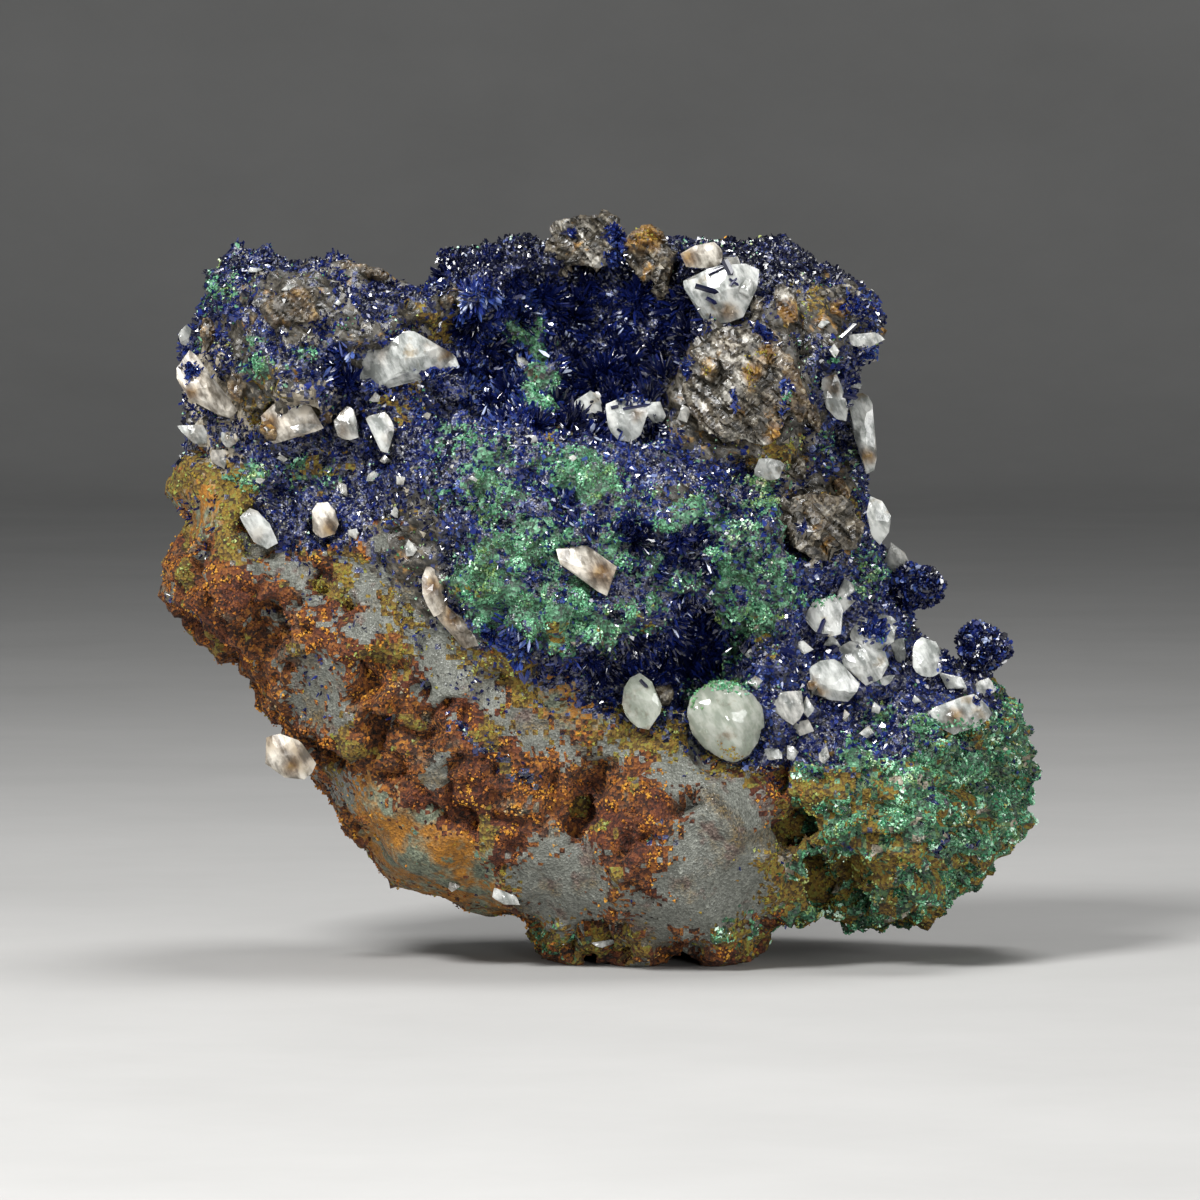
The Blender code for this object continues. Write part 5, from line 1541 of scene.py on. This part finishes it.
def stone(
    name, roughness, ior, colours, grain=None, patches=(), rust=(), relief=0.0, glints=0.0,
    layers=None,
):
    """A finish for something that grew or broke. Its colours run over each crystal's own tint, or
    over a pattern where grain gives (grain size, cloud size, share of the clouds). patches are
    (size, from, to, colours): other colours that take over where soft noise of that size rises
    through those two values. rust holds the colours that come in with a piece's own tint. relief
    is the height of the grains, or of the clouds where there are layers, glints how far single
    grains are glossier, and layers the (turn, flatness) of clouds that lie in layers. Lengths are
    in millimetres."""
    made = bpy.data.materials.new(name)
    made.use_nodes = True
    tree = made.node_tree
    shader = tree.nodes["Principled BSDF"]
    shader.inputs["Roughness"].default_value = roughness
    shader.inputs["IOR"].default_value = ior
    place = add_node(tree, "ShaderNodeTexCoord").outputs["Object"]
    tint = add_node(tree, "ShaderNodeAttribute", attribute_name="tint").outputs["Fac"]
    value = tint
    if grain:
        size, cloud_size, cloudy = grain
        cells = add_node(
            tree, "ShaderNodeTexVoronoi", [("Vector", place)], [("Scale", 1 / (size * MM))]
        )
        own = add_node(tree, "ShaderNodeSeparateColor", [("Color", cells.outputs["Color"])])
        lie = place
        if layers:
            turn, flatness = layers
            lie = add_node(
                tree, "ShaderNodeMapping", [("Vector", place)],
                [("Rotation", (0, turn, 0)), ("Scale", (1, 1, flatness))], vector_type="TEXTURE",
            ).outputs["Vector"]
        clouds = add_node(
            tree, "ShaderNodeTexNoise", [("Vector", lie)],
            [("Scale", 1 / (cloud_size * MM)), ("Detail", 6.0),
             ("Roughness", 0.55 if layers else 0.65)],
        ).outputs["Fac"]
        value = add_node(
            tree, "ShaderNodeMix", [(2, own.outputs["Red"]), (3, clouds)], [(0, cloudy)],
            data_type="FLOAT",
        ).outputs[0]
        if relief:
            height = clouds if layers else cells.outputs["Distance"]
            raised = add_node(
                tree, "ShaderNodeBump", [("Height", height)], [("Distance", relief * MM)]
            )
            tree.links.new(raised.outputs["Normal"], shader.inputs["Normal"])
        if glints:
            gloss = add_node(
                tree, "ShaderNodeMapRange", [("Value", own.outputs["Green"])],
                [("To Min", roughness + glints / 3), ("To Max", roughness - glints)],
            )
            tree.links.new(gloss.outputs["Result"], shader.inputs["Roughness"])
    colour = add_node(tree, "ShaderNodeValToRGB", [("Fac", value)], stops=colours).outputs[0]
    for patch_size, start, end, other_colours in patches:
        other = add_node(tree, "ShaderNodeValToRGB", [("Fac", value)], stops=other_colours)
        spread = add_node(
            tree, "ShaderNodeTexNoise", [("Vector", place)],
            [("Scale", 1 / (patch_size * MM)), ("Detail", 4.0), ("Roughness", 0.6)],
        )
        share = add_node(
            tree, "ShaderNodeMapRange", [("Value", spread.outputs["Fac"])],
            [("From Min", start), ("From Max", end)],
        )
        colour = add_node(
            tree, "ShaderNodeMix",
            [(0, share.outputs["Result"]), (6, colour), (7, other.outputs[0])], data_type="RGBA",
        ).outputs[2]
    if rust:
        other = add_node(tree, "ShaderNodeValToRGB", [("Fac", value)], stops=rust)
        colour = add_node(
            tree, "ShaderNodeMix", [(0, tint), (6, colour), (7, other.outputs[0])],
            data_type="RGBA",
        ).outputs[2]
    tree.links.new(colour, shader.inputs["Base Color"])
    return made


def azurite_crystal():
    """Azurite, grown as glassy blades: nearly black in the body, royal blue where light gets in, and
    near white at the top of its tints, a painted glint that a few blades carry.
    """
    return stone("azurite_crystal", 0.14, 1.76, [
        (0.0, "#06081a"), (0.3, "#0b123c"), (0.6, "#182668"), (0.85, "#405694"), (1.0, "#bcc6de"),
    ])


def azurite_massive():
    """Azurite, grown in a solid crust under the crystals: dull dark blue with paler grains."""
    return stone("azurite_massive", 0.4, 1.76, [
        (0.2, "#02030a"), (0.42, "#060a20"), (0.6, "#0e1848"), (0.74, "#1d2c66"), (0.86, "#3c4c74"),
    ], grain=(0.3, 1.2, 0.45), relief=0.12)


def malachite_velvet():
    """Malachite, grown as tufts of fine needles: soft green with small bright points."""
    return stone("malachite_velvet", 0.34, 1.7, [
        (0.0, "#10291a"), (0.35, "#33704a"), (0.7, "#66ad80"), (0.92, "#a6dcb6"), (1.0, "#d6f4e0"),
    ], patches=[
        (3.0, 0.5, 0.66, [(0.0, "#2a3a18"), (0.5, "#62803c"), (0.85, "#93a95c"), (1.0, "#c4d29a")]),
        (1.6, 0.64, 0.7, [(0.0, "#2b4a44"), (0.6, "#7fb5a4"), (1.0, "#d8efe6")]),
    ])


def malachite_massive():
    """Malachite, grown as a crust under the tufts: a darker green."""
    return stone("malachite_massive", 0.6, 1.7, [
        (0.2, "#081a10"), (0.42, "#1c452d"), (0.62, "#3d7552"), (0.82, "#74ab86"),
    ], grain=(0.3, 1.4, 0.5), relief=0.12)


def malachite_dark():
    """Malachite, grown as glassy dark green points on the mass at the lower right."""
    return stone("malachite_dark", 0.24, 1.7, [
        (0.0, "#061d15"), (0.35, "#1a5238"), (0.7, "#4b966c"), (0.9, "#92cfa8"), (1.0, "#d4f2de"),
    ], patches=[
        (1.8, 0.56, 0.62, [(0.0, "#262009"), (0.5, "#756a26"), (1.0, "#aea45c")]),
        (2.4, 0.62, 0.68, [(0.0, "#1c181c"), (0.6, "#5d5258"), (1.0, "#8e8488")]),
    ])


def malachite_mass():
    """Malachite mixed with clay, in uneven layers: dull green, brown in the hollows."""
    return stone("malachite_mass", 0.6, 1.6, [
        (0.2, "#090c08"), (0.38, "#152e1f"), (0.52, "#27543a"), (0.66, "#4e6434"), (0.8, "#7f9466"),
    ], grain=(0.35, 1.6, 0.55), relief=0.15)


def limonite_crust():
    """Limonite, rusted out of the rock as an earthy crust: orange-brown, red-brown in the depths."""
    return stone("limonite_crust", 0.9, 1.5, [
        (0.2, "#120a06"), (0.4, "#3a1f0e"), (0.6, "#74421a"), (0.8, "#a06a22"),
    ], grain=(0.3, 0.9, 0.5), patches=[
        (4.0, 0.58, 0.66, [(0.2, "#131210"), (0.5, "#444036"), (0.8, "#6a6556")]),
        (9.0, 0.48, 0.6, [(0.2, "#100605"), (0.5, "#4a2110"), (0.8, "#74401f")]),
    ], relief=0.2)


def limonite_grain():
    """Limonite crumbs, dull and earthy, from dark brown to bright orange."""
    return stone("limonite_grain", 0.85, 1.5, [
        (0.0, "#150b06"), (0.28, "#43220f"), (0.52, "#7c4215"), (0.8, "#ad6c1b"), (1.0, "#c08a2c"),
    ], patches=[
        (4.0, 0.6, 0.68, [(0.0, "#24211b"), (0.6, "#635d4c"), (1.0, "#8f8872")]),
    ])


def ochre_earth():
    """Ochre, an earthy yellow clay with some copper green in it."""
    return stone("ochre_earth", 0.9, 1.5, [
        (0.2, "#1a160c"), (0.4, "#4e3b19"), (0.58, "#7c6222"), (0.76, "#70722f"), (0.9, "#9a9a5c"),
    ], grain=(0.3, 1.3, 0.55), relief=0.2)


def ochre_grain():
    """Ochre crumbs, from rusty yellow to yellow-green."""
    return stone("ochre_grain", 0.85, 1.5, [
        (0.0, "#2a1c0c"), (0.3, "#745419"), (0.6, "#8f7b22"), (0.85, "#7c863a"), (1.0, "#a0ab68"),
    ])


def pale_earth():
    """Sandstone under clay and copper dust: grey-green, orange where rust has run over it."""
    return stone("stained_sandstone", 0.8, 1.5, [
        (0.25, "#33372e"), (0.45, "#5a6150"), (0.6, "#747a66"), (0.8, "#8b9079"),
    ], grain=(0.25, 1.4, 0.7), patches=[
        (3.2, 0.42, 0.54, [(0.25, "#503410"), (0.5, "#8a5a14"), (0.75, "#a8721e")]),
        (1.6, 0.6, 0.68, [(0.25, "#2e4038"), (0.6, "#5f7f6c"), (0.8, "#8fae98")]),
    ], relief=0.1, glints=0.3)


def grey_sandstone():
    """Sandstone, broken across its grains: grey with tiny bright quartz faces."""
    return stone("grey_sandstone", 0.65, 1.5, [
        (0.0, "#464841"), (0.5, "#62645d"), (0.85, "#75776f"), (1.0, "#aeb2a6"),
    ], grain=(0.22, 2.0, 0.25), patches=[
        (5.0, 0.52, 0.66, [(0.2, "#322d24"), (0.5, "#534a39"), (0.8, "#6b5a38")]),
        (2.6, 0.56, 0.66, [(0.2, "#3a2f29"), (0.5, "#554740"), (0.9, "#75675d")]),
    ], relief=0.1, glints=0.4)


def mica_schist(
    name="mica_schist", middle="#38342d", light="#4f4a41", lightest="#68645a", pale="#47433b",
    palest="#625f56",
):
    """Mica schist, split along its layers: dark flaky rock with pale streaks and golden rust."""
    return stone(name, 0.45, 1.58, [
        (0.34, "#0b0a08"), (0.43, "#26231b"), (0.52, middle), (0.62, light), (0.74, lightest),
    ], grain=(0.35, 2.0, 0.8), patches=[
        (3.8, 0.57, 0.64, [(0.34, "#2b2822"), (0.5, pale), (0.62, palest)]),
        (2.6, 0.6, 0.68, [(0.34, "#24160a"), (0.5, "#70501f"), (0.64, "#a98346")]),
    ], rust=[(0.34, "#24170b"), (0.5, "#74501f"), (0.64, "#ae8a44")],
        relief=0.22, glints=0.3, layers=(math.radians(40), 0.3))


def mica():
    """Mica, cleaved into thin bright sheets: pale brown and pearly."""
    return stone("mica", 0.35, 1.58, [
        (0.0, "#1a1812"), (0.45, "#3c372c"), (0.8, "#625a4b"), (1.0, "#8e8675"),
    ])


def vein_grain():
    """Broken bits of quartz and schist among the crystals: grey, cream and brown."""
    return stone("vein_grain", 0.35, 1.54, [
        (0.0, "#1e1d19"), (0.25, "#403d35"), (0.5, "#585c50"), (0.75, "#7f7d74"), (1.0, "#bdbab0"),
    ])


def cream_quartz_rock():
    """Vein quartz with clay in it: cream and white, dull, with grey flaws."""
    return stone("cream_vein_quartz", 0.5, 1.54, [
        (0.3, "#2e2a22"), (0.42, "#6b6252"), (0.56, "#948b7a"), (0.72, "#b9b5aa"),
    ], grain=(0.4, 1.3, 0.85), relief=0.1)


def quartz(name, roughness, grey, white, clearness, depth, bumps=0.1):
    """Quartz with milky veils and brown flaws, which lets light some millimetres into it."""
    made = stone(
        name, roughness, 1.544, [(0.4, grey), (0.6, white)], grain=(0.5, 2.2, 0.94),
        patches=[(2.4, 0.58, 0.7, [(0.35, "#6f6450"), (0.6, "#b3aa98")])],
        rust=[(0.36, "#2a1c0e"), (0.5, "#5e431f"), (0.64, "#8f7343")],
        relief=bumps, layers=(math.radians(62), 0.4),
    )
    shader = made.node_tree.nodes["Principled BSDF"]
    shader.inputs["Transmission Weight"].default_value = clearness
    shader.inputs["Subsurface Weight"].default_value = 0.28
    shader.inputs["Subsurface Radius"].default_value = (1.0, 1.0, 0.95)
    shader.inputs["Subsurface Scale"].default_value = depth * MM
    return made


def milky_quartz():
    """Milky quartz, broken: white to grey, glossy on its flat breaks."""
    return quartz("milky_quartz", 0.15, "#858985", "#d8dad6", 0.25, 0.6)


def cream_quartz():
    """Quartz with clay in its flaws, broken: cream to pale brown, duller than the milky kind."""
    return quartz("cream_quartz", 0.35, "#6e675c", "#cfc9bd", 0.05, 0.5)


def clear_quartz():
    """Quartz, nearly clear with milky veils: so glossy that it looks wet, with light inside."""
    return quartz("clear_quartz", 0.07, "#a4ac9d", "#d0d4c8", 0.45, 1.2, 0.02)


AZURITE_GLASS = azurite_crystal()
MALACHITE_VELVET = malachite_velvet()
DARK_MALACHITE = malachite_dark()
LIMONITE_GRAINS = limonite_grain()
OCHRE_GRAINS = ochre_grain()
VEIN_GRAINS = vein_grain()
MICA = mica()
MILKY_QUARTZ = milky_quartz()
CLEAR_QUARTZ = clear_quartz()
CREAM_QUARTZ = cream_quartz()
SCHIST_ROCK = mica_schist(
    "pale_mica_schist", "#423d35", "#615c51", "#a8a499", "#8e8a80", "#c0bdb4"
)
DARK_SCHIST = mica_schist()
PIECE_FINISHES = {
    "quartz_dome": CLEAR_QUARTZ, "quartz_small_clear": CLEAR_QUARTZ,
    "quartz_rim_left": CREAM_QUARTZ, "quartz_block_left": CREAM_QUARTZ,
    "quartz_top_yellow": CREAM_QUARTZ, "quartz_foot_left": CREAM_QUARTZ,
    "quartz_chip_round": CREAM_QUARTZ,
}
AZURITE_CRUST = azurite_massive()
ROCK_FINISHES = [
    DARK_SCHIST, AZURITE_CRUST, AZURITE_CRUST, malachite_massive(), limonite_crust(),
    grey_sandstone(), ochre_earth(), malachite_mass(), cream_quartz_rock(), pale_earth(),
]


# ---------------------------------------------------------------------------------------------
# The studio


def build_camera():
    """A long lens that looks at the rock's middle."""
    data = bpy.data.cameras.new("camera")
    data.sensor_width = SENSOR
    data.lens = SENSOR * CAMERA_DISTANCE / SEEN_WIDTH
    data.clip_start = 0.01
    made = bpy.data.objects.new("camera", data)
    made.location = Vector(EYE) * MM
    made.rotation_euler = (math.pi / 2 - math.radians(CAMERA_ELEVATION), 0, 0)
    bpy.context.scene.collection.objects.link(made)
    bpy.context.scene.camera = made


def build_floor():
    """A pale seamless floor that curves up into a backdrop all round, beyond the camera."""
    flat, bend, height, steps, bend_steps = 1100.0, 400.0, 1500.0, 96, 12
    profile = [(0.1, 0.0), (300.0, 0.0), (flat, 0.0)]
    for step in range(1, bend_steps + 1):
        turn = math.pi / 2 * step / bend_steps
        profile.append((flat + bend * math.sin(turn), bend - bend * math.cos(turn)))
    profile.append((flat + bend, height))
    points, faces = [], []
    for ring, (radius, level) in enumerate(profile):
        for step in range(steps):
            turn = 2 * math.pi * step / steps
            points.append((radius * math.cos(turn), radius * math.sin(turn), level))
            if ring:
                here, after = ring * steps + step, ring * steps + (step + 1) % steps
                faces.append((here - steps, here, after, after - steps))
    paper = stone("pale_paper", 0.9, 1.5, [(0.3, "#a2a19f"), (0.7, "#aaa9a7")], grain=(20, 60, 1))
    mesh_object("floor", np.array(points), np.array(faces), [paper], smooth=True)


def build_light(name, place, size, power):
    """A square soft light that looks at the rock."""
    data = bpy.data.lights.new(name, "AREA")
    data.size = size * MM
    data.energy = power
    made = bpy.data.objects.new(name, data)
    made.location = Vector(place) * MM
    away = Vector((0, 0, AIM_HEIGHT)) - Vector(place)
    made.rotation_euler = away.to_track_quat("-Z", "Y").to_euler()
    bpy.context.scene.collection.objects.link(made)


def build_lights():
    """A key light from the left, fills that keep the shadows open, and two small ones for sparkle."""
    build_light("key", (-230, -330, 420), 130, 4.0)
    build_light("fill", (420, -420, 160), 260, 1.7)
    build_light("top", (60, 40, 520), 200, 1.7)
    build_light("spark_left", (-420, -320, 90), 30, 0.6)
    build_light("front", (140, -560, 70), 80, 0.85)
    world = bpy.data.worlds.new("studio")
    world.use_nodes = True
    background = world.node_tree.nodes["Background"]
    background.inputs["Color"].default_value = (0.9, 0.95, 1.0, 1)
    background.inputs["Strength"].default_value = 0.2
    bpy.context.scene.world = world
    bpy.context.scene.view_settings.view_transform = "Standard"


def main():
    """Builds the studio, the rock and its broken pieces, and then grows everything else on them."""
    build_camera()
    build_floor()
    build_lights()
    points, faces, normals = build_rock()
    ground = Ground(points, faces, normals)
    quartz_surfaces, schist_surfaces = build_cut_pieces()
    front = Front([(points, faces)] + quartz_surfaces + schist_surfaces)
    ground.cover([*QUARTZ_OUTLINES.values(), *SCHIST_OUTLINES.values()])
    left = [place for place in SLABS if place[0] < LEFT_BLOCK_ENDS]
    right = [place for place in SLABS if place[0] > LEFT_BLOCK_ENDS]
    for name, slot, finish, make, places, outlined, seed, surfaces in (
        ("schist_slabs", "schist", SCHIST_ROCK, slab, right, [], 31, schist_surfaces),
        ("dark_schist_slabs", "schist", DARK_SCHIST, slab, left, [], 33, schist_surfaces),
        ("quartz_chips", "quartz", MILKY_QUARTZ, shard, CHIPS, CUT_CHIPS, 30, quartz_surfaces),
        ("cream_quartz_chips", "quartz", CREAM_QUARTZ, shard, [], CREAM_CHIPS, 32, quartz_surfaces),
    ):
        surface, outlines = build_set_pieces(name, slot, finish, make, places, outlined, seed, front)
        surfaces.append(surface)
        ground.cover(outlines)
    front = Front([(points, faces)] + quartz_surfaces + schist_surfaces)
    fragments = joined(schist_surfaces)
    grow_hollow_blades(ground)
    grow_field_crystals(ground)
    grow_stray_azurite(ground)
    grow_earths(ground)
    grow_mica(ground, Ground(*fragments, point_normals(*fragments)))
    dust_pieces(front)
    lay_blades(front)
    build_rosette("azurite_rosette_upper", "azurite_ball_upper", 41)
    build_rosette("azurite_rosette_lower", "azurite_ball_lower", 42)


main()
